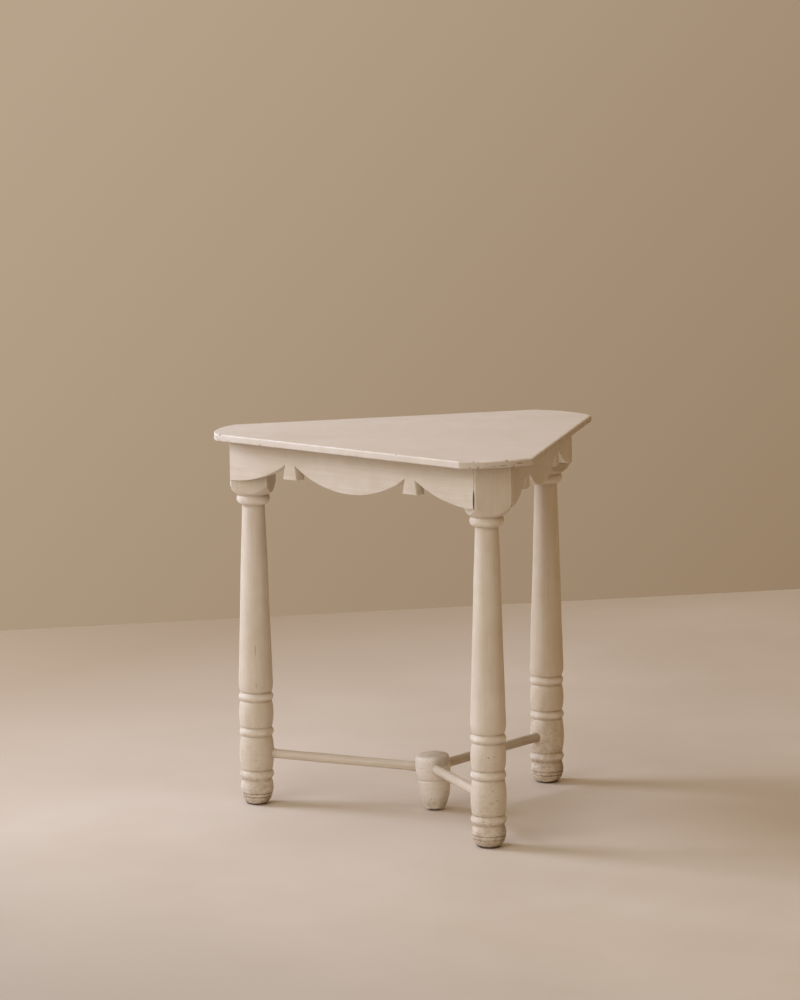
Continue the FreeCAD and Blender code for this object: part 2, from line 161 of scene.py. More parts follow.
# %% [markdown]
# The legs and the hub are turned on a lathe, so each is drawn as half an outline and spun. The
# outline is written like a turner's: a run of straight tapers and bowed stretches. Thick paint
# rounds every corner a little, which is copied by sampling the outline finely, blurring it by
# less than a millimetre, and keeping a ring of points only where the line has bent or run on.

# %% Outlines for the lathe
SAMPLE_STEP = 0.0004
PAINT_ROUNDING = 0.0008
WEAR_REACH = 0.006
WEAR_RISE = 0.0022
RING_TURN = math.radians(13)
RING_GAP = 0.0045
WAVES, WAVE_TURNS, WAVE_SLANT = 6, (1, 5), 70


def bowed(start, end, bulge, steps=24):
    """Arc from start to end, going down, whose middle stands out from the chord by bulge."""
    (r0, z0), (r1, z1) = start, end
    chord = math.hypot(r1 - r0, z1 - z0)
    along = ((r1 - r0) / chord, (z1 - z0) / chord)
    half = 2 * math.atan(2 * bulge / chord)
    radius = chord / (2 * math.sin(half))
    points = []
    for step in range(1, steps + 1):
        angle = half * (2 * step / steps - 1)
        run = radius * math.sin(angle)
        rise = radius * (math.cos(angle) - math.cos(half))
        points.append(((r0 + r1) / 2 + along[0] * run - along[1] * rise,
                       (z0 + z1) / 2 + along[1] * run + along[0] * rise))
    return points


def blurred(values, reach):
    """Values along an outline, averaged over a reach in metres."""
    count = int(3 * reach / SAMPLE_STEP)
    weights = np.exp(-0.5 * (np.arange(-count, count + 1) * SAMPLE_STEP / reach) ** 2)
    padded = np.pad(values, count, mode="edge")
    return np.convolve(padded, weights / weights.sum(), "valid")


def turned_rows(outline, fine_from=None, fine_to=None):
    """Radius, height and wear of the rings that an outline needs, corners rounded by paint."""
    corners = np.array(outline)
    steps = np.hypot(*np.diff(corners, axis=0).T)
    run = np.concatenate([[0], np.cumsum(steps)])
    places = np.arange(0, run[-1], SAMPLE_STEP)
    radius = blurred(np.interp(places, run, corners[:, 0]), PAINT_ROUNDING)
    height = blurred(np.interp(places, run, corners[:, 1]), PAINT_ROUNDING)
    wear = np.clip((radius - blurred(radius, WEAR_REACH)) / WEAR_RISE, -1, 1)
    heading = np.unwrap(np.arctan2(np.diff(height), np.diff(radius)))
    kept = [0]
    for place in range(1, len(places) - 1):
        fine = fine_from is not None and fine_to < height[place] < fine_from
        gap = (place - kept[-1]) * SAMPLE_STEP
        bend = abs(heading[place] - heading[kept[-1]])
        if bend > RING_TURN or gap > (RING_GAP / 3 if fine else RING_GAP):
            kept.append(place)
    kept.append(len(places) - 1)
    return radius[kept], height[kept], wear[kept]


def hand_wobble(angle, height, draw, depth):
    """Slow unevenness of hand turning: a few waves around and along the work."""
    total = 0
    for _ in range(WAVES):
        around = draw.integers(*WAVE_TURNS)
        along = draw.uniform(-WAVE_SLANT, WAVE_SLANT)
        total = total + np.sin(around * angle + along * height + draw.uniform(0, 2 * math.pi))
    return total * depth / WAVES


def eased_least(first, second, ease):
    """The smaller of two radii, rounded over where they cross."""
    near = np.clip(ease - np.abs(first - second), 0, None) / ease
    return np.minimum(first, second) - near ** 2 * ease / 4


print("outline sampled every", SAMPLE_STEP, "m and rounded by", PAINT_ROUNDING, "m")

# %% [markdown]
# Each leg starts as a square and keeps that square at the top, where the aprons are nailed to
# it. Below, it is turned round: a shoulder, a bead, a long taper, three rings with a short and a
# long barrel between them, and a ball foot with two scratched lines. One mesh does both if every
# ring takes the smaller of two radii, the square's and the lathe's, at each angle.

# %% Sizes of a leg
HEAD_HALF = 0.033
HEAD_LENGTH = 0.0887
HEAD_ARRIS = 0.0034
SHOULDER_REACH, SHOULDER_HEIGHT, SHOULDER_BULGE = 0.0517, 0.037, 0.005
SHOULDER_EASE = 0.0012
NECK_RADIUS = 0.0265
BEAD_FOOT, BEAD_HEIGHT, BEAD_BULGE = 0.0213, 0.0168, 0.005
COLUMN_TOP, COLUMN_BELLY, BELLY_RISE, BELLY_BULGE = 0.01985, 0.02985, 0.030, 0.0012
RING_HEIGHTS = (0.1852, 0.1232, 0.0473)
RING_RADIUS, RING_HALF, QUIRK_RADIUS, QUIRK_WIDTH = 0.03025, 0.007, 0.0265, 0.0015
BARREL_END, BARREL_BULGE = 0.0275, 0.0027
FOOT_NECK, FOOT_FLAT, FOOT_BULGE = 0.02575, 0.0178, 0.0072
FOOT_LINES = (0.0208, 0.0145)
FOOT_LINE_HALF, FOOT_LINE_DEPTH = 0.0012, 0.0013
NECK_DROPS = {"front": 0.0, "right": 0.003, "left": 0.012}
RING_LIFTS = {"front": 0.0, "right": 0.0, "left": 0.0065}


def leg_outline(neck_drop, ring_lift):
    """Half outline of a leg from its head to the floor, as (radius, height) points."""
    neck = UNDER_TOP - HEAD_LENGTH - neck_drop
    rings = [height + ring_lift for height in RING_HEIGHTS]
    shoulder = (SHOULDER_REACH, neck + SHOULDER_HEIGHT)
    points = [(SHOULDER_REACH, UNDER_TOP), shoulder]
    points += bowed(shoulder, (NECK_RADIUS, neck), SHOULDER_BULGE)
    points += bowed((NECK_RADIUS, neck), (BEAD_FOOT, neck - BEAD_HEIGHT), BEAD_BULGE)
    belly = (COLUMN_BELLY, rings[0] + BELLY_RISE)
    points += [(COLUMN_TOP, neck - BEAD_HEIGHT), belly]
    above_ring = rings[0] + RING_HALF + QUIRK_WIDTH
    points += bowed(belly, (BARREL_END, above_ring), BELLY_BULGE)
    for number, ring in enumerate(rings):
        if number > 0:
            barrel_top = (BARREL_END, points[-1][1])
            points.append(barrel_top)
            points += bowed(barrel_top, (BARREL_END, ring + RING_HALF + QUIRK_WIDTH), BARREL_BULGE)
        points.append((QUIRK_RADIUS, points[-1][1]))
        points.append((QUIRK_RADIUS, ring + RING_HALF))
        points += bowed((QUIRK_RADIUS, ring + RING_HALF), (QUIRK_RADIUS, ring - RING_HALF),
                        RING_RADIUS - QUIRK_RADIUS)
        points.append((QUIRK_RADIUS, ring - RING_HALF - QUIRK_WIDTH))
    foot_neck = (FOOT_NECK, points[-1][1])
    points.append(foot_neck)
    points += bowed(foot_neck, (FOOT_FLAT, 0), FOOT_BULGE, steps=40)
    return points


print("leg outline points", len(leg_outline(0, 0)))

# %% Wear and unevenness of a leg
HEAD_COLUMNS = 96
ARRIS_COLUMNS = (-2.6, -1.3, 1.3, 2.6)
WOBBLE_DEPTH = 0.00055
RING_WORN_DEPTH = 0.0006
DENT_COUNT = 60
FOOT_ROWS = np.arange(0.004, 0.030, 0.0008)
FOOT_SWELLS = {"front": 0.0, "right": 0.0, "left": -0.0012}
SWELL_FADE, SWELL_SPAN = 1.6, 0.024
RAG_HEIGHT, RAG_DEPTH = 0.007, 0.0009
HEAD_MARGIN, NECK_MARGIN, SHOULDER_MARGIN, ARRIS_RUB = 0.003, 0.002, 0.001, 0.0035
FOOT_LINE_SEEN, FOOT_LINE_GRIME = 0.0003, 0.9
DENTS_BELOW, DENT_SPREAD, DENT_DEPTH = 0.21, (0.0012, 0.0032), (0.0001, 0.0005)
LEG_SEEDS = {"front": 11, "right": 23, "left": 37}


def leg_angles():
    """Angles round a leg, closer together at the four arrises of its head."""
    angles = list(np.linspace(0, 2 * math.pi, HEAD_COLUMNS, endpoint=False))
    for arris in (45, 135, 225, 315):
        angles += [math.radians(arris + offset) for offset in ARRIS_COLUMNS]
    return np.sort(np.array(angles))


def square_radius(angles):
    """Distance from the axis to the side of the square head, its arrises eased."""
    across = HEAD_HALF / np.maximum(np.abs(np.cos(angles)), 1e-6)
    along = HEAD_HALF / np.maximum(np.abs(np.sin(angles)), 1e-6)
    return eased_least(across, along, HEAD_ARRIS)


def foot_line_depth(heights):
    """How far the two scratched lines on the ball foot are cut in at each height."""
    depth = np.zeros_like(heights)
    for line in FOOT_LINES:
        depth += FOOT_LINE_DEPTH * np.clip(1 - np.abs(heights - line) / FOOT_LINE_HALF, 0, 1)
    return depth


print("columns round a leg", len(leg_angles()))


# %% Turn the three legs
def turn_leg(name):
    """One leg: square head and turned shaft in one mesh, unevenly turned, dented and worn."""
    draw = np.random.default_rng(LEG_SEEDS[name])
    neck = UNDER_TOP - HEAD_LENGTH - NECK_DROPS[name]
    outline = leg_outline(NECK_DROPS[name], RING_LIFTS[name])
    ring_radius, ring_height, ring_wear = turned_rows(outline, neck + SHOULDER_HEIGHT, neck - NECK_MARGIN)
    rising = ring_height[::-1]
    ring_radius = np.concatenate([ring_radius, np.interp(FOOT_ROWS, rising, ring_radius[::-1])])
    ring_wear = np.concatenate([ring_wear, np.interp(FOOT_ROWS, rising, ring_wear[::-1])])
    ring_height = np.concatenate([ring_height, FOOT_ROWS])
    order = np.argsort(-ring_height, kind="stable")
    ring_radius, ring_height, ring_wear = ring_radius[order], ring_height[order], ring_wear[order]
    angles = leg_angles()
    angle, height = np.meshgrid(angles, ring_height)
    turned = ring_radius[:, None] + 0 * angle
    turned += hand_wobble(angle, height, draw, WOBBLE_DEPTH)
    turned -= foot_line_depth(height)
    turned += FOOT_SWELLS[name] * np.clip(SWELL_FADE - height / SWELL_SPAN, 0, 1)
    square = square_radius(angle)
    radius = eased_least(square, turned, SHOULDER_EASE)
    wear = np.repeat(ring_wear[:, None], len(angles), axis=1)
    crest = np.clip(wear, 0, 1) * np.clip(np.sin(3 * angle + 40 * height + draw.uniform(0, 6)), 0, 1)
    radius -= crest * RING_WORN_DEPTH
    on_head = height > neck + HEAD_MARGIN
    arris = np.clip(1 - (math.sqrt(2) * HEAD_HALF - square) / ARRIS_RUB, 0, 1)
    wear = np.where(on_head, arris * (square < turned + SHOULDER_MARGIN), wear)
    wear -= FOOT_LINE_GRIME * (foot_line_depth(height) > FOOT_LINE_SEEN)
    for _ in range(DENT_COUNT):
        middle = draw.choice(ring_height[ring_height < DENTS_BELOW])
        turn = draw.uniform(-math.pi, math.pi)
        spread = draw.uniform(*DENT_SPREAD)
        away = np.angle(np.exp(1j * (angle - turn))) * radius
        hollow = np.exp(-(away ** 2 + (height - middle) ** 2) / (2 * spread ** 2))
        radius -= hollow * draw.uniform(*DENT_DEPTH)
    ragged = np.clip(1 - height / RAG_HEIGHT, 0, 1)
    radius -= ragged * RAG_DEPTH * (1 + np.sin(9 * angle + draw.uniform(0, 6)) * np.sin(4 * angle))
    points = as_points(LEG_CIRCLE + radius * np.cos(angle), radius * np.sin(angle), height)
    faces = tube_faces(len(ring_height), len(angles))
    return make_piece("turned_leg_" + name, swung(points, LEG_BEARINGS[name]), faces,
                      wear, np.zeros_like(wear), "painted_legs", "leg_" + name)


for leg_name in LEG_BEARINGS:
    pieces["leg_" + leg_name] = turn_leg(leg_name)

# %% [markdown]
# The top is one thin board. Its plan has three straight sides, and each corner is clipped by a
# shallow bow. Its edge matters most, because it faces the light: rounded more above than below,
# never quite straight, and nicked. The board is built as rings that follow the plan, from the
# middle of the underside, round the edge, to the middle of the upper face.

# %% Plan and edge of the top
CORNER_BULGE = 0.015
CORNER_REACH = AXIS.y - top_low.y
SIDE_REACH = top_high.y - AXIS.y
UPPER_ARRIS, LOWER_ARRIS = 0.0026, 0.0018
EDGE_SPACING = 0.0016
BOARD_SHARES = (0.03, 0.10, 0.25, 0.5, 0.8)
EDGE_WAVER = 0.0003
LOWER_STEPS, UPPER_STEPS = 4, 6
LOWER_RUB, UPPER_RUB, UNDERSIDE_GRIME, PAINT_UNDER_RIM = 0.7, 0.55, -0.3, 0.08
third = math.radians(60)
corner_chord = CORNER_REACH - CORNER_BULGE
side_half = (corner_chord - SIDE_REACH * math.cos(third)) / math.sin(third)
corner_half = SIDE_REACH * math.sin(third) - side_half * math.cos(third)


def top_plan():
    """Points round the top and the direction in which each faces, starting at the front corner."""
    corner_radius = (corner_half ** 2 + CORNER_BULGE ** 2) / (2 * CORNER_BULGE)
    sweep = math.asin(corner_half / corner_radius)
    places = []
    facings = []
    for bearing in LEG_BEARINGS.values():
        count = int(2 * sweep * corner_radius / EDGE_SPACING)
        for angle in np.linspace(-sweep, sweep, count):
            drop = corner_radius * (1 - math.cos(angle))
            spot = (CORNER_REACH - drop, corner_radius * math.sin(angle), 0)
            places.append(swung([spot], bearing)[0][:2])
            facings.append(math.radians(bearing) + angle)
        side_bearing = bearing + math.degrees(third)
        for along in np.arange(EDGE_SPACING - side_half, side_half, EDGE_SPACING):
            places.append(swung([(SIDE_REACH, along, 0)], side_bearing)[0][:2])
            facings.append(math.radians(side_bearing))
    return np.array(places), np.array(facings)


def board_rings():
    """(shrink, inset, height, wear, bare) of each ring, from the underside round the edge and up."""
    rings = [(share, 0.0, UNDER_TOP, UNDERSIDE_GRIME, min(1.0, share / PAINT_UNDER_RIM))
             for share in reversed(BOARD_SHARES)]
    for step in range(LOWER_STEPS + 1):
        angle = math.pi / 2 * step / LOWER_STEPS
        rings.append((0.0, LOWER_ARRIS * (1 - math.sin(angle)),
                      UNDER_TOP + LOWER_ARRIS * (1 - math.cos(angle)),
                      math.sin(2 * angle) * LOWER_RUB, 0.0))
    edge_low, edge_high = UNDER_TOP + LOWER_ARRIS, TABLE_HEIGHT - UPPER_ARRIS
    for share in (0.2, 0.4, 0.6, 0.8):
        rings.append((0.0, 0.0, edge_low + (edge_high - edge_low) * share, 0.0, 0.0))
    for step in range(UPPER_STEPS + 1):
        angle = math.pi / 2 * step / UPPER_STEPS
        rings.append((0.0, UPPER_ARRIS * (1 - math.cos(angle)),
                      edge_high + UPPER_ARRIS * math.sin(angle), math.sin(2 * angle) * UPPER_RUB, 0.0))
    rings += [(share, 0.0, TABLE_HEIGHT, 0.0, 0.0) for share in BOARD_SHARES]
    return np.array(rings)


print("sides", round(2 * side_half, 3), "m, clipped corners", round(2 * corner_half, 3), "m")

# %% Build the top
TOP_SEED = 5
NICK_COUNT = 110
NICK_SPREAD, NICK_DEPTH = (0.0007, 0.0019), (0.0003, 0.0011)
NICK_INSET, NICK_ODDS = 0.001, (0.6, 0.4)
DEEP_NICK, NICK_BARE, NICK_GRIME = 0.0009, 0.7, 0.55
RIM_STAIN = 0.15
# Painted shade along the edge of the top that faces away from the light; its upper arris is made paler
# there, partly as wear and partly as a painted highlight.
RIM_SHADE, RIM_SHADE_BEARING, RIM_SHARE = 0.9, math.radians(-38), 0.85


def make_top():
    """The board, with a wavering edge and nicks along its arrises."""
    draw = np.random.default_rng(TOP_SEED)
    places, facings = top_plan()
    rings = board_rings()
    columns = len(places)
    out = np.stack([np.cos(facings), np.sin(facings)], axis=1)
    run = np.arange(columns) * EDGE_SPACING
    waver = EDGE_WAVER * (np.sin(run * 21) + np.sin(run * 47 + 1) + 0.6 * np.sin(run * 133 + 2)) / 2.6
    on_edge = (rings[:, 0] == 0)[:, None]
    inset = rings[:, 1][:, None] - waver[None, :] * on_edge
    height = np.repeat(rings[:, 2][:, None], columns, axis=1)
    wear = np.repeat(rings[:, 3][:, None], columns, axis=1)
    bare = np.repeat(rings[:, 4][:, None], columns, axis=1)
    for _ in range(NICK_COUNT):
        spot = draw.integers(columns)
        level = draw.choice([UNDER_TOP + NICK_INSET, TABLE_HEIGHT - NICK_INSET], p=NICK_ODDS)
        spread = draw.uniform(*NICK_SPREAD)
        gap = np.abs(np.arange(columns) - spot)
        away = np.minimum(gap, columns - gap)[None, :] * EDGE_SPACING
        hollow = np.exp(-(away ** 2 + (height - level) ** 2) / (2 * spread ** 2)) * on_edge
        depth = draw.uniform(*NICK_DEPTH)
        inset += hollow * depth
        bare = np.maximum(bare, hollow * (depth > DEEP_NICK) * NICK_BARE)
        wear -= hollow * NICK_GRIME
    stain = np.sin(run * 173 + 3 * np.sin(run * 57)) * np.sin(run * 409 + 2 * np.sin(run * 131))
    wear += RIM_STAIN * stain[None, :] * on_edge
    # Painted shade on the rim that faces away from the light, and a paler upper arris there, as wear and a
    # painted highlight.
    rim_shade_and_highlight = RIM_SHADE * np.clip(np.cos(facings - RIM_SHADE_BEARING), 0, 1)[None, :] * on_edge
    wear += np.where(height > TABLE_HEIGHT - RIM_SHARE * UPPER_ARRIS, wear * rim_shade_and_highlight, -rim_shade_and_highlight)
    middle = np.array([AXIS.x, AXIS.y])
    spots = middle + (places - middle)[None, :, :] * (1 - rings[:, 0])[:, None, None]
    spots = spots - out[None, :, :] * inset[:, :, None]
    points = np.concatenate([spots, height[:, :, None]], axis=2).reshape(-1, 3)
    faces = [tuple(reversed(face)) for face in tube_faces(len(rings), columns)]
    return make_piece("top_board", points, faces, wear, bare, "painted_top", "table_top")


pieces["top"] = make_top()

# %% [markdown]
# Each apron is a board with a fretted lower edge: half a lobe, a flared pendant, a full lobe,
# another pendant and half a lobe. Its ends are planed to a feather that lies flat against the
# side faces of two leg heads. The face is one polygon drawn from arcs, the board is the space
# between it and its back, and a bevel along the cut edges eases them as sandpaper would.

# %% Sizes of an apron
APRON_THICKNESS = 0.020
APRON_DEPTH = 0.072
NOTCH_DEPTH = 0.034
PENDANT_DEPTH = 0.0593
PENDANT_TOP_HALF, PENDANT_FOOT_HALF = 0.01075, 0.016
PENDANT_SHARE = 0.49
PAINT_FILM = 0.0002
CUT_EDGE_BEVEL = 0.0012
JOINT_GAP, JOINT_GAP_HEIGHT = 0.0024, 0.034
GAP_SHARE, GAP_HEIGHT_SHARE = 0.8, 0.7
head_face = LEG_CIRCLE + HEAD_HALF
APRON_FACE = head_face * math.cos(third) + HEAD_HALF * math.sin(third) + PAINT_FILM
APRON_END = head_face * math.sin(third) - HEAD_HALF * math.cos(third)
APRON_BACK_END = APRON_END - APRON_THICKNESS * math.tan(third)
TIP_BLUNTING = 0.0013
APRON_TIP = APRON_END - TIP_BLUNTING


def lobe_edge(middle, reach, low, notch, places):
    """Heights of a lobe's arc, lowest at middle and up to the notch at reach from it."""
    rise = notch - low
    radius = (reach ** 2 + rise ** 2) / (2 * rise)
    return low + radius - np.sqrt(radius ** 2 - (places - middle) ** 2)


def apron_edge(end_gap):
    """The fretted lower edge and the ends, as (along, height) points from the left end round."""
    low = UNDER_TOP - APRON_DEPTH
    notch = UNDER_TOP - NOTCH_DEPTH
    foot = UNDER_TOP - PENDANT_DEPTH
    place = APRON_END * PENDANT_SHARE
    inner, outer = place - PENDANT_TOP_HALF, place + PENDANT_TOP_HALF
    half = np.unique(np.append(np.linspace(outer, APRON_TIP, 26), APRON_BACK_END))
    half_heights = lobe_edge(APRON_END, APRON_END - outer, low, notch, half)
    full = np.linspace(-inner, inner, 49)
    full_heights = lobe_edge(0, inner, low, notch, full)
    right = [(place - PENDANT_FOOT_HALF, foot), (place + PENDANT_FOOT_HALF, foot)]
    right += list(zip(half, half_heights))
    left = [(-along, height) for along, height in reversed(right)]
    edge = left + list(zip(full, full_heights)) + right
    if end_gap > 0:
        edge[-1] = (APRON_END - end_gap, edge[-1][1])
        edge.append((APRON_END - end_gap * GAP_SHARE, low + JOINT_GAP_HEIGHT * GAP_HEIGHT_SHARE))
        edge.append((APRON_TIP, low + JOINT_GAP_HEIGHT))
    return edge + [(APRON_TIP, UNDER_TOP), (APRON_BACK_END, UNDER_TOP),
                   (-APRON_BACK_END, UNDER_TOP), (-APRON_TIP, UNDER_TOP)]


print("apron", round(2 * APRON_END, 3), "m long on its face,", round(2 * APRON_BACK_END, 3), "m behind")

# %% Cut the three aprons
FILLER_RADIUS = 0.0034
FILLER_RISE = 0.0003
FILLER_RIMS = ((1.0, -0.0001), (0.85, FILLER_RISE), (0.45, FILLER_RISE * 0.6))
FILLER_SIDES = 14
NO_DEPTH, SAME_PLACE, BELOW_TOP = 1e-5, 1e-6, 1e-4
NAIL_INSET = 0.022
NAIL_SHARES = (0.28, 0.73)
CUT_EDGE_WEAR, CUT_EDGE_GRIME, TIP_GRIME = 0.8, -0.65, -0.25
BEVEL_MARGIN, TIP_REACH = 0.006, 0.004


def add_filler(body, along, height):
    """A shallow round of filler over a nail head."""
    rims = []
    for share, rise in FILLER_RIMS:
        ring = []
        for turn in np.linspace(0, 2 * math.pi, FILLER_SIDES, endpoint=False):
            y = along + FILLER_RADIUS * share * math.cos(turn)
            z = height + FILLER_RADIUS * share * math.sin(turn)
            ring.append(body.verts.new((APRON_FACE + rise, y, z)))
        rims.append(ring)
    for wide, tight in zip(rims, rims[1:]):
        for number in range(len(wide)):
            after = (number + 1) % len(wide)
            body.faces.new((wide[number], wide[after], tight[after], tight[number]))
    body.faces.new(rims[-1])


def from_lowest(corners):
    """A face's corners, begun at the lowest number, so that every run makes the same mesh."""
    first = corners.index(min(corners))
    return tuple(corners[first:] + corners[:first])


def cut_apron(side):
    """One fretted board with feathered ends and eased edges."""
    edge = apron_edge(JOINT_GAP if side == "front" else 0)
    body = bmesh.new()
    face_verts = []
    back_verts = []
    for along, height in edge:
        spare = (APRON_END - abs(along)) / math.tan(third)
        depth = min(APRON_THICKNESS, spare)
        front = body.verts.new((APRON_FACE, along, height))
        face_verts.append(front)
        back = front if depth < NO_DEPTH else body.verts.new((APRON_FACE - depth, along, height))
        back_verts.append(back)
    body.faces.new(face_verts)
    behind = [v for v in back_verts if abs(v.co.y) <= APRON_BACK_END + SAME_PLACE]
    body.faces.new(list(reversed(behind)))
    for hand in (-1, 1):
        end = [v for v in back_verts if v.co.y * hand >= APRON_BACK_END - SAME_PLACE]
        if hand < 0:
            split = next(i for i, v in enumerate(end) if v.co.z > UNDER_TOP - SAME_PLACE)
            end = end[split:] + end[:split]
        body.faces.new(list(reversed(end)))
    count = len(edge)
    for number in range(count):
        after = (number + 1) % count
        ring = [face_verts[after], face_verts[number], back_verts[number], back_verts[after]]
        unique = list(dict.fromkeys(ring))
        if len(unique) > 2:
            body.faces.new(unique)
    body.normal_update()
    cut = []
    for line in body.edges:
        lower = all(v.co.z < UNDER_TOP - BELOW_TOP for v in line.verts)
        clear = all(abs(v.co.y) < APRON_END - BEVEL_MARGIN for v in line.verts)
        if lower and clear and line.calc_face_angle(0) > CREASE_ANGLE:
            cut.append(line)
    bmesh.ops.bevel(body, geom=cut, offset=CUT_EDGE_BEVEL, segments=2, profile=0.6, affect="EDGES")
    for along in (NAIL_INSET - APRON_END, APRON_END - NAIL_INSET):
        for share in NAIL_SHARES:
            add_filler(body, along, UNDER_TOP - APRON_DEPTH * share)
    bmesh.ops.recalc_face_normals(body, faces=body.faces)
    body.verts.index_update()
    local = np.array([v.co for v in body.verts])
    faces = sorted(from_lowest([v.index for v in face.verts]) for face in body.faces)
    body.free()
    depth = APRON_FACE - local[:, 0]
    wear = np.where((depth > NO_DEPTH) & (depth < 1.5 * CUT_EDGE_BEVEL), CUT_EDGE_WEAR, 0.0)
    wear = np.where(depth > APRON_THICKNESS / 2, CUT_EDGE_GRIME, wear)
    wear = np.where(np.abs(local[:, 1]) > APRON_END - TIP_REACH, TIP_GRIME, wear)
    bare = np.where(depth > APRON_THICKNESS - CUT_EDGE_BEVEL / 2, 1.0, 0.0)
    return make_piece("fretted_apron_" + side, swung(local, SIDE_BEARINGS[side]), faces, wear, bare,
                      "painted_aprons", "apron_" + side)


for side_name in SIDE_BEARINGS:
    pieces["apron_" + side_name] = cut_apron(side_name)

# %% [markdown]
# Three dowels run from the long barrels to a turned hub that hangs just clear of the floor. The
# hub is another lathe piece, with dust on its crown; it hangs a little off centre and out of plumb.
# A dowel is a tube whose radius swells a little at both joints, where paint has gathered, and
# which is neither quite straight nor quite round.

# %% Turn the hub
HUB_WAIST = 0.051
HUB_FLAT, HUB_CUP, HUB_CUP_BULGE = 0.0170, 0.0282, 0.0034
HUB_GROOVE, HUB_GROOVE_HALF = 0.0271, 0.0017
HUB_GROOVE_GRIME = -0.3
HUB_DRUM, HUB_DRUM_FOOT, HUB_CROWN, HUB_CROWN_ROUND = 0.0304, 0.0288, 0.0294, 0.0065
HUB_DOME = 0.0030
HUB_DROP, HUB_RISE, HUB_EYE = 0.0018, 0.0012, 0.002
HUB_BASE, HUB_TOP = hub_low.z - HUB_DROP, hub_high.z + HUB_RISE
HUB_OFFSET, HUB_OFFSET_BEARING = 0.0038, math.radians(342)
HUB_LEAN, HUB_LEAN_BEARING = math.radians(4), math.radians(200)
HUB_COLUMNS = 84
HUB_SIDE_FROM = 0.01
DUST_BELOW, DUST_FADE, DUST = 0.0025, 0.0035, 0.7
HUB_CHIP_HEIGHT, HUB_CHIP_DEPTH = 0.010, 0.0007
SOCKET_SHARE = 0.45
SOCKET_AT_HUB = hub_low.z + HUB_WAIST + (hub_high.z - hub_low.z - HUB_WAIST) * SOCKET_SHARE
HUB_SEED = 3


def hub_outline():
    """Half outline of the hub: crown, drum, groove and tapering cup."""
    base, top = HUB_BASE, HUB_TOP
    waist = hub_low.z + HUB_WAIST
    crown = (HUB_CROWN, top - HUB_CROWN_ROUND)
    rim = (HUB_CROWN - HUB_CROWN_ROUND, top)
    drum_foot = (HUB_DRUM_FOOT, waist + HUB_GROOVE_HALF)
    cup = (HUB_CUP, waist - HUB_GROOVE_HALF)
    eye = (HUB_EYE, top + HUB_DOME)
    points = [eye] + bowed(eye, rim, HUB_DOME / 2)
    points += bowed(rim, crown, HUB_CROWN_ROUND * (1 - math.cos(math.pi / 4)))
    points += bowed(crown, drum_foot, HUB_DRUM - (HUB_CROWN + HUB_DRUM_FOOT) / 2)
    points += [(HUB_GROOVE, drum_foot[1]), (HUB_GROOVE, cup[1]), cup]
    points += bowed(cup, (HUB_FLAT, base), HUB_CUP_BULGE)
    points.append((HUB_EYE, base))
    return points


def turn_hub():
    """The hub, unevenly turned, dusty above and chipped round its foot."""
    draw = np.random.default_rng(HUB_SEED)
    ring_radius, ring_height, ring_wear = turned_rows(hub_outline())
    angles = np.linspace(0, 2 * math.pi, HUB_COLUMNS, endpoint=False)
    angle, height = np.meshgrid(angles, ring_height)
    on_side = (ring_radius > HUB_SIDE_FROM)[:, None]
    radius = ring_radius[:, None] + hand_wobble(angle, height, draw, WOBBLE_DEPTH) * on_side
    wear = np.repeat(ring_wear[:, None], len(angles), axis=1)
    wear = np.maximum(wear, HUB_GROOVE_GRIME)
    dusty = np.clip((height - HUB_TOP + DUST_BELOW) / DUST_FADE, 0, 1)
    wear = wear * (1 - dusty) - DUST * dusty
    chipped = np.clip(1 - (height - hub_low.z) / HUB_CHIP_HEIGHT, 0, 1)
    chipped *= np.clip(np.sin(5 * angle) + np.sin(13 * angle), 0, 1)
    radius -= chipped * HUB_CHIP_DEPTH * on_side
    points = as_points(radius * np.cos(angle), radius * np.sin(angle), height)
    tilt = Matrix.Rotation(HUB_LEAN, 3, (-math.sin(HUB_LEAN_BEARING), math.cos(HUB_LEAN_BEARING), 0))
    pivot = np.array([0, 0, SOCKET_AT_HUB])
    points = (points - pivot) @ np.array(tilt).T + pivot
    points[:, 0] += HUB_OFFSET * math.cos(HUB_OFFSET_BEARING)
    points[:, 1] += HUB_OFFSET * math.sin(HUB_OFFSET_BEARING)
    return make_piece("turned_hub", swung(points, 0), tube_faces(len(ring_height), len(angles)),
                      wear, np.zeros_like(wear), "painted_stretchers", "stretcher_hub")


pieces["hub"] = turn_hub()

# %% Draw the three stretchers
STRETCHER_RADIUS = 0.00825
SOCKET_AT_LEG = (RING_HEIGHTS[1] + RING_HEIGHTS[2]) / 2
LEG_SURFACE = LEG_CIRCLE - BARREL_END - BARREL_BULGE
DOWEL_IN_LEG = 0.024
HUB_END, LEG_END = 0.0104, LEG_SURFACE + DOWEL_IN_LEG
PAINT_COLLAR, COLLAR_REACH = 0.0011, 0.0022
STRETCHER_COLUMNS, STRETCHER_ROWS = 32, 96
STRETCHER_SEEDS = {"front": 41, "right": 43, "left": 47}
STRETCHER_BOW, STRETCHER_WOBBLE = 0.0012, 0.0004
JOINT_GRIME, JOINT_GRIME_REACH = -0.5, 0.012
SOCKET_LIFTS = {"front": (0.0015, -0.0040), "right": (0.0, 0.0), "left": (0.0, 0.0)}


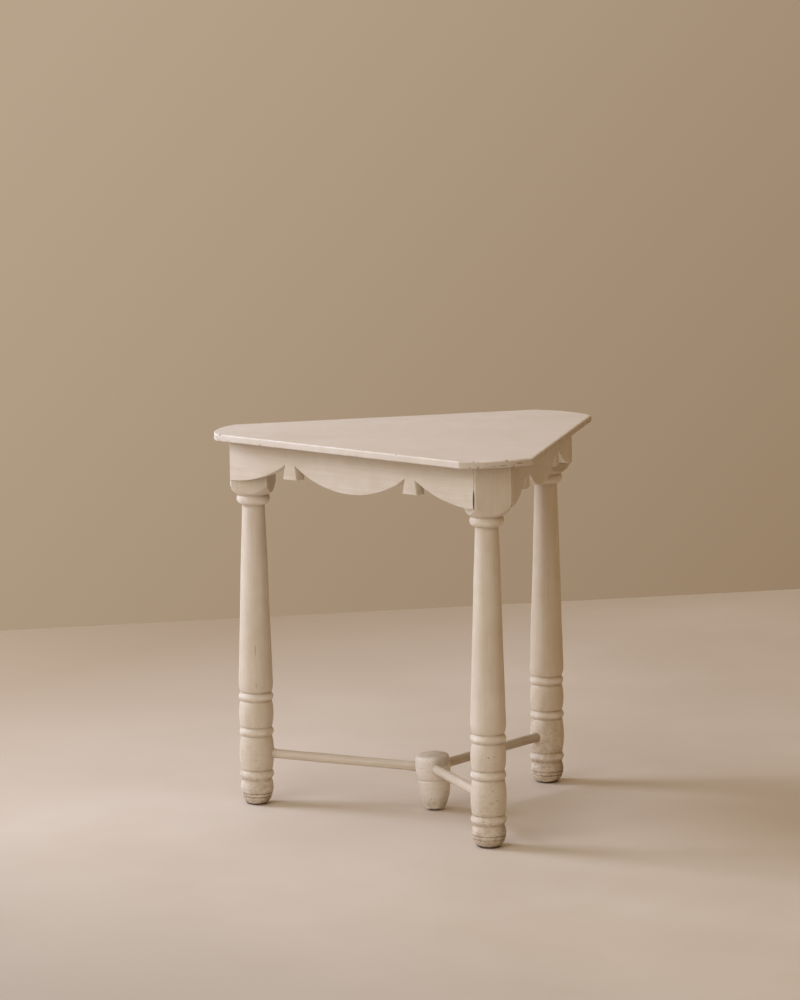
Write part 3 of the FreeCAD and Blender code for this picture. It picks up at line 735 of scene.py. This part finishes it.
def draw_stretcher(name):
    """A painted dowel from inside the hub to inside a leg."""
    draw = np.random.default_rng(STRETCHER_SEEDS[name])
    reach = np.linspace(HUB_END, LEG_END, STRETCHER_ROWS)
    near_joint = np.minimum(np.abs(reach - HUB_DRUM), np.abs(reach - LEG_SURFACE))
    angles = np.linspace(0, 2 * math.pi, STRETCHER_COLUMNS, endpoint=False)
    angle, along = np.meshgrid(angles, reach)
    radius = STRETCHER_RADIUS + hand_wobble(angle, along, draw, STRETCHER_WOBBLE)
    radius += (PAINT_COLLAR * np.exp(-near_joint / COLLAR_REACH))[:, None]
    share = along / LEG_CIRCLE
    hub_lift, leg_lift = SOCKET_LIFTS[name]
    at_hub, at_leg = SOCKET_AT_HUB + hub_lift, SOCKET_AT_LEG + RING_LIFTS[name] + leg_lift
    middle = at_hub + (at_leg - at_hub) * share
    bow = STRETCHER_BOW * np.sin(math.pi * share)
    points = as_points(along, radius * np.cos(angle) + bow, middle + radius * np.sin(angle))
    grime = JOINT_GRIME * np.exp(-near_joint / JOINT_GRIME_REACH)
    wear = np.repeat(grime[:, None], len(angles), axis=1)
    faces = [tuple(reversed(face)) for face in tube_faces(STRETCHER_ROWS, STRETCHER_COLUMNS)]
    return make_piece("painted_stretcher_" + name, swung(points, LEG_BEARINGS[name]), faces,
                      wear, np.zeros_like(wear), "painted_stretchers", "stretcher_" + name)


for leg_name in LEG_BEARINGS:
    pieces["stretcher_" + leg_name] = draw_stretcher(leg_name)

# %% [markdown]
# Now the finish. Old brushed paint isn't one colour: it is thicker here and thinner there, its
# brush strokes run with the work, high places are rubbed to a chalky pale tone, low places hold
# brown grime, and small flakes and scratches show the wood. Shade is painted into the colour too:
# in nooks, where the pieces meet the floor, on sides away from the light and in one joint's gap;
# the hub is painted paler, as painted light. Each of these is a layer of nodes, and a few short
# helpers keep the wiring readable.

# %% Helpers for wiring materials
BUMP_STRENGTH, BUMP_DEPTH = 0.4, 0.0006


def finish_tree(name):
    """A new material, its node tree and its shader node."""
    material = bpy.data.materials.new(name)
    material.use_nodes = True
    return material, material.node_tree, material.node_tree.nodes["Principled BSDF"]


def add(tree, kind, inputs=None, **settings):
    """Adds a node, sets its properties, and links or sets its inputs by name or number."""
    made = tree.nodes.new("ShaderNode" + kind)
    for key, value in settings.items():
        setattr(made, key, value)
    for key, value in (inputs or {}).items():
        socket = made.inputs[key]
        if isinstance(value, bpy.types.NodeSocket):
            tree.links.new(value, socket)
        else:
            socket.default_value = value
    return made


def noise(tree, where, scale, detail=4.0, roughness=0.55):
    """Soft noise, finer as the scale grows."""
    made = add(tree, "TexNoise", {"Vector": where, "Scale": scale, "Detail": detail,
                                  "Roughness": roughness})
    return made.outputs["Fac"]


def remap(tree, value, low, high, to_low=0.0, to_high=1.0):
    """Carries a value from one range to another, held at both ends."""
    made = add(tree, "MapRange", {0: value, 1: low, 2: high, 3: to_low, 4: to_high})
    return made.outputs[0]


def sum_of(tree, first, second, operation="ADD"):
    """Two values added, or joined by another operation."""
    return add(tree, "Math", {0: first, 1: second}, operation=operation).outputs[0]


def times(tree, first, second):
    """Two values multiplied."""
    return sum_of(tree, first, second, "MULTIPLY")


def blend(tree, factor, first, second):
    """Mixes two colours, given as sockets or as red, green and blue."""
    first, second = [(*value, 1.0) if isinstance(value, tuple) else value for value in (first, second)]
    return add(tree, "Mix", {0: factor, 6: first, 7: second}, data_type="RGBA").outputs[2]


def stretched(tree, where, size, bearing=0.0, centre=(0, 0, 0)):
    """Places counted from a centre in units of a size along, across and up, turned to a bearing."""
    made = add(tree, "Mapping", {"Vector": where, "Location": centre, "Scale": size,
                                 "Rotation": (0, 0, math.radians(bearing))}, vector_type="TEXTURE")
    return made.outputs[0]


def reach_along(tree, where, heading):
    """How far places lie in the direction of a heading."""
    made = add(tree, "VectorMath", {0: where, 1: tuple(heading)}, operation="DOT_PRODUCT")
    return made.outputs["Value"]


def most_of(tree, values):
    """The greatest of several values."""
    greatest = values[0]
    for value in values[1:]:
        greatest = sum_of(tree, greatest, value, "MAXIMUM")
    return greatest


def wire_up(tree, shader, colour, roughness, relief=None):
    """Brings a colour, a roughness and, if there is one, a relief to the shader."""
    tree.links.new(colour, shader.inputs["Base Color"])
    tree.links.new(roughness, shader.inputs["Roughness"])
    if relief is not None:
        bump = add(tree, "Bump", {"Strength": BUMP_STRENGTH, "Distance": BUMP_DEPTH, "Height": relief})
        tree.links.new(bump.outputs[0], shader.inputs["Normal"])


print("node helpers ready")

# %% Colours of the finish
CREAM = (0.745, 0.660, 0.570)
CREAM_DEEP = (0.665, 0.570, 0.455)
# Darker, warmer copies of the cream, painted shade for the right leg.
SHADED_CREAM = (0.745, 0.645, 0.525)
SHADED_CREAM_DEEP = (0.665, 0.558, 0.425)
TOP_CREAM = (0.760, 0.685, 0.620)
TOP_CREAM_DEEP = (0.690, 0.605, 0.520)
DOWEL_CREAM = (0.600, 0.510, 0.415)
# The deepest dowel cream is painted shade for the right dowel.
SHADED_DOWEL_CREAM = (0.430, 0.345, 0.255)
# A paler cream for the hub, as painted light for the light that reaches it under the top.
HUB_LIT_CREAM = (0.810, 0.745, 0.675)
RUBBED = (0.920, 0.865, 0.800)
# Brown for grime, also used for the painted shade in nooks.
GRIME_AND_SHADE_BROWN = (0.330, 0.225, 0.138)
# Near-black for scratches and chips, also used for painted shade and shadow.
SCRATCH_AND_SHADE_BLACK = (0.110, 0.070, 0.042)
WOOD = (0.36, 0.245, 0.145)
WOOD_DEEP = (0.21, 0.13, 0.07)
IRON = (0.07, 0.06, 0.055)
TONE_SPREAD = 0.35
BROAD, CLOUD, SMEAR, SPECK, FINE = 7.0, 34.0, 75.0, 330.0, 420.0
CRACK_SIZE, GRAIN_SIZE = (0.010, 0.010, 0.0010), (0.004, 0.16, 0.006)
SPECK_CLEAN, SPECK_DIRTY, SPECKS_BELOW = (0.30, 0.10), (0.46, 0.20), (0.20, 0.10)
NOOK_SHADE_REACH, SCUFF_HEIGHT, SOILED_BELOW = 0.006, 0.23, (0.50, 0.45)
# A ragged band just above the floor is painted near-black: soot, and painted shade where the feet and the
# hub meet the floor.
SOOT_AND_SHADE_RAG, SOOT_AND_SHADE_FROM, SOOT_AND_SHADE_TO = 0.016, -0.003, -0.0055
print("cream", CREAM, "rubbed", RUBBED, "grime", GRIME_AND_SHADE_BROWN)


# %% Layers of the paint
def bare_wood(tree, where, bearing):
    """Colour and grain of old bare softwood: long soft grain, darker in places."""
    grain = noise(tree, stretched(tree, where, GRAIN_SIZE, bearing), 1.0, 5.0, 0.6)
    return blend(tree, remap(tree, grain, 0.35, 0.68), WOOD, WOOD_DEEP), grain


def away_from(tree, where, centre, half_size):
    """Distance from a place, counted so that it is one at the edge of an ellipsoid there."""
    counted = stretched(tree, where, half_size, centre=centre)
    return add(tree, "VectorMath", {0: counted}, operation="LENGTH").outputs["Value"]


def spot_at(tree, where, centre, half_size):
    """One inside an ellipsoid at a place on the table, fading to zero at its edge."""
    return remap(tree, away_from(tree, where, centre, half_size), 1.0, 0.55)


def grime_and_nook_shade(tree, where, height, wear, cloud, dirt_height, scuffs):
    """How far grime and painted shade cover the paint: grime in hollows and near the floor in smears and
    cracks, and painted shade in nooks where little light reaches.
    """
    patchy = remap(tree, cloud, 0.3, 0.65, 0.25, 1.0)
    hollow = times(tree, remap(tree, wear, -0.15, -1.0), remap(tree, height, *SOILED_BELOW, 0.55, 0.85))
    # Painted shade: ambient occlusion darkens nooks and the gaps between parts, where little light
    # reaches.
    corners = add(tree, "AmbientOcclusion", {"Distance": NOOK_SHADE_REACH}, samples=8).outputs["AO"]
    nook_shade = times(tree, remap(tree, corners, 0.75, 0.2), remap(tree, height, *SOILED_BELOW, 0.3, 0.7))
    grime_and_shade_cover = times(tree, sum_of(tree, hollow, nook_shade), patchy)
    if dirt_height > 0:
        splash = remap(tree, height, dirt_height, 0.004, 0.0, 0.75)
        smears = noise(tree, where, SMEAR, 7.0, 0.72)
        grime_and_shade_cover = sum_of(tree, grime_and_shade_cover, times(tree, splash, remap(tree, smears, 0.42, 0.66)))
        cracks = noise(tree, stretched(tree, where, CRACK_SIZE), 1.0, 3.0, 0.6)
        scuffed = remap(tree, height, SCUFF_HEIGHT, 0.03, 0.0, scuffs)
        grime_and_shade_cover = sum_of(tree, grime_and_shade_cover, times(tree, scuffed, remap(tree, cracks, 0.58, 0.66)))
    return remap(tree, grime_and_shade_cover, 0.0, 1.0)


def chips_and_shade_marks(tree, where, dots_in, fine, wear, speck_size, specks, marks):
    """How far wood shows as chips, in specks and in flakes on rubbed edges, and where single spots are
    laid on: some are real flaws, others painted shade, as in the gap at one joint and on the sides of the
    feet, the hub and one leg head away from the light.
    """
    cells = add(tree, "TexVoronoi", {"Vector": where, "Scale": SPECK})
    picked = add(tree, "SeparateColor", {0: cells.outputs["Color"]}).outputs[0]
    dots = times(tree, remap(tree, cells.outputs["Distance"], *speck_size),
                 remap(tree, picked, 1 - specks, 1 - specks / 4, 0.0, 0.7))
    flaked = times(tree, remap(tree, fine, 0.66, 0.70), remap(tree, wear, 0.35, 0.9, 0.0, 0.6))
    spots = [times(tree, dots, dots_in), flaked]
    for centre, half_size, depth in marks:
        spots.append(times(tree, spot_at(tree, where, centre, half_size), depth))
    return most_of(tree, spots)


print("layers ready: bare wood, spots, grime and chips")


# %% The cream paint
def cream_paint(name, bearing, stroke, tones=(CREAM, CREAM_DEEP), streaks=1.4, dirt_height=0.0,
                scuffs=0.0, specks=0.04, marks=()):
    """Brushed cream paint. stroke is the size of a brush mark along, across and up, at a bearing."""
    material, tree, shader = finish_tree(name)
    where = add(tree, "TexCoord").outputs["Object"]
    height = add(tree, "SeparateXYZ", {0: where}).outputs["Z"]
    wear = add(tree, "Attribute", attribute_name="wear").outputs["Fac"]
    bare = add(tree, "Attribute", attribute_name="bare").outputs["Fac"]
    broad = noise(tree, where, BROAD, 3.0)
    cloud = noise(tree, where, CLOUD, 6.0, 0.62)
    fine = noise(tree, where, FINE, 3.0, 0.6)
    strokes = times(tree, noise(tree, stretched(tree, where, stroke, bearing), 1.0, 4.0, 0.65), streaks)
    tone = sum_of(tree, sum_of(tree, broad, cloud), strokes)
    middle = 1 + streaks / 2
    colour = blend(tree, remap(tree, tone, middle - TONE_SPREAD, middle + TONE_SPREAD), tones[1], tones[0])

    rubbed = times(tree, remap(tree, wear, 0.15, 0.8), remap(tree, cloud, 0.35, 0.6, 0.15, 0.85))
    colour = blend(tree, rubbed, colour, RUBBED)
    # Grime, together with painted shade in nooks.
    grime_and_shade_cover = grime_and_nook_shade(tree, where, height, wear, cloud, dirt_height, scuffs)
    colour = blend(tree, grime_and_shade_cover, colour, GRIME_AND_SHADE_BROWN)
    soot_and_contact_shade = []
    if dirt_height > 0:
        # Painted shade and soot: a ragged near-black band where the piece meets the floor.
        ragged = sum_of(tree, height, times(tree, cloud, SOOT_AND_SHADE_RAG), "SUBTRACT")
        soot_and_contact_shade.append(remap(tree, ragged, SOOT_AND_SHADE_FROM, SOOT_AND_SHADE_TO))
        colour = blend(tree, soot_and_contact_shade[0], colour, SCRATCH_AND_SHADE_BLACK)
        speck_size = SPECK_DIRTY
        dots_in = times(tree, remap(tree, cloud, 0.40, 0.58), remap(tree, height, *SPECKS_BELOW))
    else:
        speck_size = SPECK_CLEAN
        dots_in = remap(tree, broad, 0.42, 0.62)
    # This mask holds the chips and also the painted shade spots.
    chipped = chips_and_shade_marks(tree, where, dots_in, fine, wear, speck_size, specks, marks)
    colour = blend(tree, times(tree, chipped, 0.85), colour, SCRATCH_AND_SHADE_BLACK)

    wood = blend(tree, remap(tree, wear, -0.35, -1.0), bare_wood(tree, where, bearing)[0], SCRATCH_AND_SHADE_BLACK)
    unpainted = remap(tree, sum_of(tree, bare, times(tree, cloud, 0.5)), 0.62, 0.78)
    colour = blend(tree, unpainted, colour, wood)

    gloss = remap(tree, cloud, 0.3, 0.7, 0.46, 0.60)
    dull = most_of(tree, [chipped, unpainted] + soot_and_contact_shade)
    shader.inputs["Specular IOR Level"].default_value = 0.35
    relief = sum_of(tree, sum_of(tree, strokes, times(tree, fine, 0.4)), chipped, "SUBTRACT")
    wire_up(tree, shader, colour, sum_of(tree, gloss, times(tree, dull, 0.3)), relief)
    return material


print("cream paint, rubbed to chalk and soiled towards the floor")

# %% Paint each piece with strokes that run with the work
def on_leg(name, bearing, height, radius):
    """Place on the side of a leg, in the direction of a bearing from the leg's own axis."""
    turn = math.radians(bearing)
    foot = swung([(LEG_CIRCLE, 0, 0)], LEG_BEARINGS[name])[0]
    return (foot[0] + radius * math.cos(turn), foot[1] + radius * math.sin(turn), height)


def on_hub(bearing, height, radius):
    """Place on the side of the hub."""
    return tuple(swung([(radius, 0, height)], bearing)[0])


front_arris = swung([(LEG_CIRCLE + HEAD_HALF, -HEAD_HALF, 0)], LEG_BEARINGS["front"])[0]
JOINT_SHADOW = ((front_arris[0], front_arris[1] + 0.0018, UNDER_TOP - 0.0565),
                (0.0023, 0.0023, 0.021), 1.0)
# Spots on the legs: thin cracks and dashes in the paint, and painted shade on the shaded sides of the feet
# and of the right leg's head. JOINT_SHADOW is a painted shadow in the gap at a joint.
LEG_MARKS_AND_SHADE = {
    "left": [(on_leg("left", 254, 0.277, 0.0283), (0.0008, 0.004, 0.0125), 0.55),
             (on_leg("left", 255, 0.215, 0.0299), (0.0008, 0.004, 0.0050), 0.55),
             (on_leg("left", 326, 0.004, 0.030), (0.022, 0.022, 0.016), 0.36)],
    "front": [(on_leg("front", 251, 0.157, 0.0297), (0.0012, 0.004, 0.0016), 0.9),
              (on_leg("front", 270, 0.158, 0.0297), (0.0012, 0.004, 0.0012), 0.9),
              (on_leg("front", 262, 0.079, 0.0301), (0.0045, 0.004, 0.0006), 0.9),
              (on_leg("front", 280, 0.083, 0.0301), (0.0035, 0.004, 0.0006), 0.9),
              (on_leg("front", 324, 0.018, 0.036), (0.026, 0.026, 0.038), 0.36), JOINT_SHADOW],
    "right": [(on_leg("right", 290, UNDER_TOP - 0.078, 0.036), (0.030, 0.030, 0.016), 0.22),
              (on_leg("right", 322, 0.014, 0.036), (0.027, 0.027, 0.034), 0.40)],
}
# Painted shade on the hub's crown, drum and foot, on the side away from the light.
HUB_SHADE_MARKS = [(on_hub(335, HUB_TOP - 0.004, HUB_CROWN), (0.020, 0.020, 0.009), 0.22),
             (on_hub(295, HUB_TOP - 0.009, HUB_DRUM), (0.022, 0.022, 0.0125), 0.36),
             (on_hub(322, HUB_BASE + 0.014, HUB_FLAT + 0.010), (0.020, 0.020, 0.026), 0.22)]
EDGE_FRONT = top_low.y
TOP_MARKS = [((0.0080, EDGE_FRONT, UNDER_TOP + 0.0034), (0.0090, 0.004, 0.0008), 0.9),
             ((-0.0080, EDGE_FRONT, UNDER_TOP + 0.0030), (0.0050, 0.004, 0.0006), 0.8),
             ((0.0385, EDGE_FRONT + 0.004, UNDER_TOP + 0.0056), (0.0085, 0.006, 0.0011), 0.9),
             ((-0.0476, EDGE_FRONT + 0.008, UNDER_TOP + 0.0018), (0.0014, 0.006, 0.0010), 0.9),
             ((-0.0200, EDGE_FRONT, UNDER_TOP + 0.0060), (0.0006, 0.004, 0.0026), 0.6),
             ((-0.0230, EDGE_FRONT, UNDER_TOP + 0.0020), (0.0060, 0.004, 0.0005), 0.6)]
TOP_STROKE, APRON_STROKE, LEG_STROKE = (0.012, 0.16, 0.05), (0.006, 0.13, 0.006), (0.0038, 0.0038, 0.11)
HUB_STROKE, DOWEL_STROKE = (0.02, 0.02, 0.003), (0.10, 0.004, 0.004)
# How high each leg is soiled and darkened above the floor; the right leg furthest.
LEG_DIRT_AND_SHADE = {"front": 0.085, "right": 0.16, "left": 0.085}
# The right leg's paint is a darker, warmer copy of the cream, as painted shade.
LEG_TONES_WITH_SHADE = {"front": (CREAM, CREAM_DEEP), "right": (SHADED_CREAM, SHADED_CREAM_DEEP),
             "left": (CREAM, CREAM_DEEP)}
# The dowels are painted in different tones to match how light falls on each: the right one, in shade, much
# darker.
DOWEL_TONES_WITH_SHADE = {"front": (CREAM_DEEP, DOWEL_CREAM), "right": (DOWEL_CREAM, SHADED_DOWEL_CREAM),
               "left": (CREAM, CREAM_DEEP)}


def paint(key, *settings, **more):
    """Gives a piece its own cream paint."""
    pieces[key].data.materials.append(cream_paint("cream_paint_" + key, *settings, **more))


paint("top", 30.0, TOP_STROKE, (TOP_CREAM, TOP_CREAM_DEEP), 0.5, marks=TOP_MARKS)
# The hub is painted in paler creams as painted light, with painted shade on its side away from the light.
paint("hub", 0.0, HUB_STROKE, (HUB_LIT_CREAM, CREAM), dirt_height=0.028, scuffs=0.10, specks=0.20, marks=HUB_SHADE_MARKS)
for side_name, side_bearing in SIDE_BEARINGS.items():
    paint("apron_" + side_name, side_bearing, APRON_STROKE,
          marks=[JOINT_SHADOW] if side_name == "front" else [])
for leg_name, leg_bearing in LEG_BEARINGS.items():
    paint("leg_" + leg_name, 0.0, LEG_STROKE, LEG_TONES_WITH_SHADE[leg_name], 1.1, LEG_DIRT_AND_SHADE[leg_name],
          scuffs=0.5, specks=0.05, marks=LEG_MARKS_AND_SHADE[leg_name])
    paint("stretcher_" + leg_name, leg_bearing, DOWEL_STROKE, DOWEL_TONES_WITH_SHADE[leg_name])
print("painted", len(pieces), "pieces")

# %% [markdown]
# Under the top sit six softwood glue blocks with a screw each, and nails hold the apron ends.
# Their solids already have the right form, so they keep their CAD meshes and get a finish.

# %% Bare wood and iron
def bare_softwood(name, bearing):
    """Softwood that was never painted, stained by age."""
    material, tree, shader = finish_tree(name)
    where = add(tree, "TexCoord").outputs["Object"]
    wood, grain = bare_wood(tree, where, bearing)
    stain = noise(tree, where, 40.0, 5.0)
    colour = blend(tree, remap(tree, stain, 0.5, 0.75, 0.0, 0.7), wood, WOOD_DEEP)
    wire_up(tree, shader, colour, remap(tree, stain, 0.3, 0.7, 0.62, 0.85), grain)
    return material


def dull_iron():
    """Old iron, rusty in places."""
    material, tree, shader = finish_tree("dull_iron")
    where = add(tree, "TexCoord").outputs["Object"]
    rust = noise(tree, where, 300.0, 5.0)
    colour = blend(tree, remap(tree, rust, 0.45, 0.7), IRON, WOOD_DEEP)
    wire_up(tree, shader, colour, remap(tree, rust, 0.3, 0.7, 0.4, 0.8))
    shader.inputs["Metallic"].default_value = 0.8
    return material


def refinish(node, material):
    """Gives a CAD node another finish and leaves its mesh alone."""
    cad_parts[node].data.materials.clear()
    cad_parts[node].data.materials.append(material)


for side_name, side_bearing in SIDE_BEARINGS.items():
    softwood = bare_softwood("bare_softwood_" + side_name, side_bearing)
    for hand in ("left", "right"):
        refinish("glue_block_" + side_name + "_" + hand, softwood)
iron = dull_iron()
for node in ("apron_nails", "glue_block_screws"):
    refinish(node, iron)
print("glue blocks in bare softwood, nails and screws in dull iron")

# %% [markdown]
# The setting is a pale floor that ends in a straight line, with painted shade that darkens it
# towards its far and near ends, outside the pool of light, and a painted shadow in a soft patch on
# the right, where the shadow of the top lies deeper than these wide lamps would make it. Behind it
# is a plain warm backdrop, as in a studio with a beige wall, paler above on the left where the
# light falls. The backdrop is shown only to the camera and to reflections, so it doesn't tint the light.

# %% Floor and backdrop
FLOOR_COLOUR = (0.74, 0.655, 0.57)
FLOOR_PATCH = (0.69, 0.60, 0.51)
FLOOR_SHADES = [(130, 0.60, 1.40, (0.557, 0.452, 0.345)), (210, 0.55, 1.30, (0.540, 0.478, 0.416))]
WALL_LIT, WALL_DIM = (0.4745, 0.3661, 0.258), (0.2831, 0.192, 0.114)
WALL_SLANT = math.radians(40)
WALL_FROM, WALL_TO = -0.115, 0.125
TOP_SHADE_PLACE, TOP_SHADE_SIZE = (0.60, -0.20, 0.0), (0.42, 0.63, 1.0)
TOP_SHADE = (0.540, 0.434, 0.325)
AMBIENT_COLOUR = (1.0, 0.68, 0.32)
AMBIENT_STRENGTH = 0.34
FLOOR_FAR, FLOOR_NEAR, FLOOR_HALF_WIDTH = 2.011, 3.6, 4.0
FLOOR_TURN = math.radians(-3.46)


def lay_floor():
    """A pale floor with painted shade towards its far and near ends, and a painted shadow of the top on
    the right.
    """
    corners = [(-FLOOR_HALF_WIDTH, -FLOOR_NEAR), (FLOOR_HALF_WIDTH, -FLOOR_NEAR),
               (FLOOR_HALF_WIDTH, FLOOR_FAR), (-FLOOR_HALF_WIDTH, FLOOR_FAR)]
    mesh = bpy.data.meshes.new("floor")
    turn = Matrix.Rotation(FLOOR_TURN, 3, "Z")
    middle = Vector((AXIS.x, AXIS.y, 0))
    mesh.from_pydata([turn @ Vector((x, y, 0)) + middle for x, y in corners], [], [(0, 1, 2, 3)])
    floor = bpy.data.objects.new("floor", mesh)
    bpy.context.scene.collection.objects.link(floor)
    material, tree, shader = finish_tree("pale_floor")
    where = add(tree, "TexCoord").outputs["Object"]
    patches = noise(tree, where, 2.6, 5.0)
    colour = blend(tree, remap(tree, patches, 0.35, 0.65), FLOOR_PATCH, FLOOR_COLOUR)
    for bearing, nearest, furthest, shade in FLOOR_SHADES:
        heading = (math.cos(math.radians(bearing)), math.sin(math.radians(bearing)), 0)
        reach = reach_along(tree, where, heading)
        colour = blend(tree, remap(tree, reach, nearest, furthest), colour, shade)
    away = away_from(tree, where, TOP_SHADE_PLACE, TOP_SHADE_SIZE)
    fallen = add(tree, "MapRange", {0: away, 1: 1.0, 2: 0.0}, interpolation_type="SMOOTHSTEP").outputs[0]
    colour = blend(tree, fallen, colour, TOP_SHADE)
    wire_up(tree, shader, colour, remap(tree, patches, 0.3, 0.7, 0.5, 0.62))
    shader.inputs["Specular IOR Level"].default_value = 0.3
    mesh.materials.append(material)


def hang_backdrop():
    """A graded wall for the eye and a plain soft light for everything else."""
    world = bpy.data.worlds.new("studio")
    bpy.context.scene.world = world
    world.use_nodes = True
    tree = world.node_tree
    tree.nodes.clear()
    path = add(tree, "LightPath").outputs
    seen = most_of(tree, [path["Is Camera Ray"], path["Is Glossy Ray"], path["Is Transmission Ray"]])
    ambient = add(tree, "Background", {"Color": (*AMBIENT_COLOUR, 1), "Strength": AMBIENT_STRENGTH})
    heading = camera_up * math.sin(WALL_SLANT) - camera_right * math.cos(WALL_SLANT)
    reach = reach_along(tree, add(tree, "TexCoord").outputs["Generated"], heading)
    wall = blend(tree, remap(tree, reach, WALL_FROM, WALL_TO), WALL_DIM, WALL_LIT)
    backdrop = add(tree, "Background", {"Color": wall, "Strength": 1.0})
    mixed = add(tree, "MixShader", {0: seen, 1: ambient.outputs[0], 2: backdrop.outputs[0]})
    output = add(tree, "OutputWorld")
    tree.links.new(mixed.outputs[0], output.inputs["Surface"])


lay_floor()
hang_backdrop()
print("floor from", -FLOOR_NEAR, "to", FLOOR_FAR, "m")

# %% [markdown]
# Light comes low from the left, as through a tall window. A second, much larger and softer light
# in front on the same side keeps the shadows open, and a weak one overhead lifts the top. All
# three are wide, so no shadow has a hard edge.

# %% Soft light from the left
LAMPS = {
    "window": {"bearing": 148.0, "elevation": 27.0, "distance": 3.6, "width": 1.5, "power": 82.0,
               "colour": (0.87, 0.96, 1.19)},
    "front_screen": {"bearing": 217.0, "elevation": 27.0, "distance": 4.6, "width": 3.2, "power": 66.0,
                     "colour": (0.92, 1.00, 1.06)},
    "ceiling": {"bearing": 200.0, "elevation": 78.0, "distance": 3.2, "width": 2.4, "power": 21.0,
                "colour": (0.92, 1.0, 1.12)},
}
LAMP_AIM = Vector((AXIS.x, AXIS.y, 0.35))


def hang_lamp(name, bearing, elevation, distance, width, power, colour):
    """A square lamp, aimed at the middle of the table and hidden from the camera."""
    light = bpy.data.lights.new(name, "AREA")
    light.shape = "SQUARE"
    light.size = width
    light.energy = power
    light.color = colour
    lamp = bpy.data.objects.new(name, light)
    level = distance * math.cos(math.radians(elevation))
    turn = math.radians(bearing)
    lamp.location = LAMP_AIM + Vector((level * math.cos(turn), level * math.sin(turn),
                                       distance * math.sin(math.radians(elevation))))
    lamp.rotation_euler = (LAMP_AIM - lamp.location).to_track_quat("-Z", "Y").to_euler()
    lamp.visible_camera = False
    bpy.context.scene.collection.objects.link(lamp)


for lamp_name, lamp_sizes in LAMPS.items():
    hang_lamp(lamp_name, **lamp_sizes)
print("lamps", ", ".join(LAMPS))

# %% [markdown]
# Last, the picture's colours are kept as they are.

# %% View
bpy.context.scene.view_settings.view_transform = "Standard"
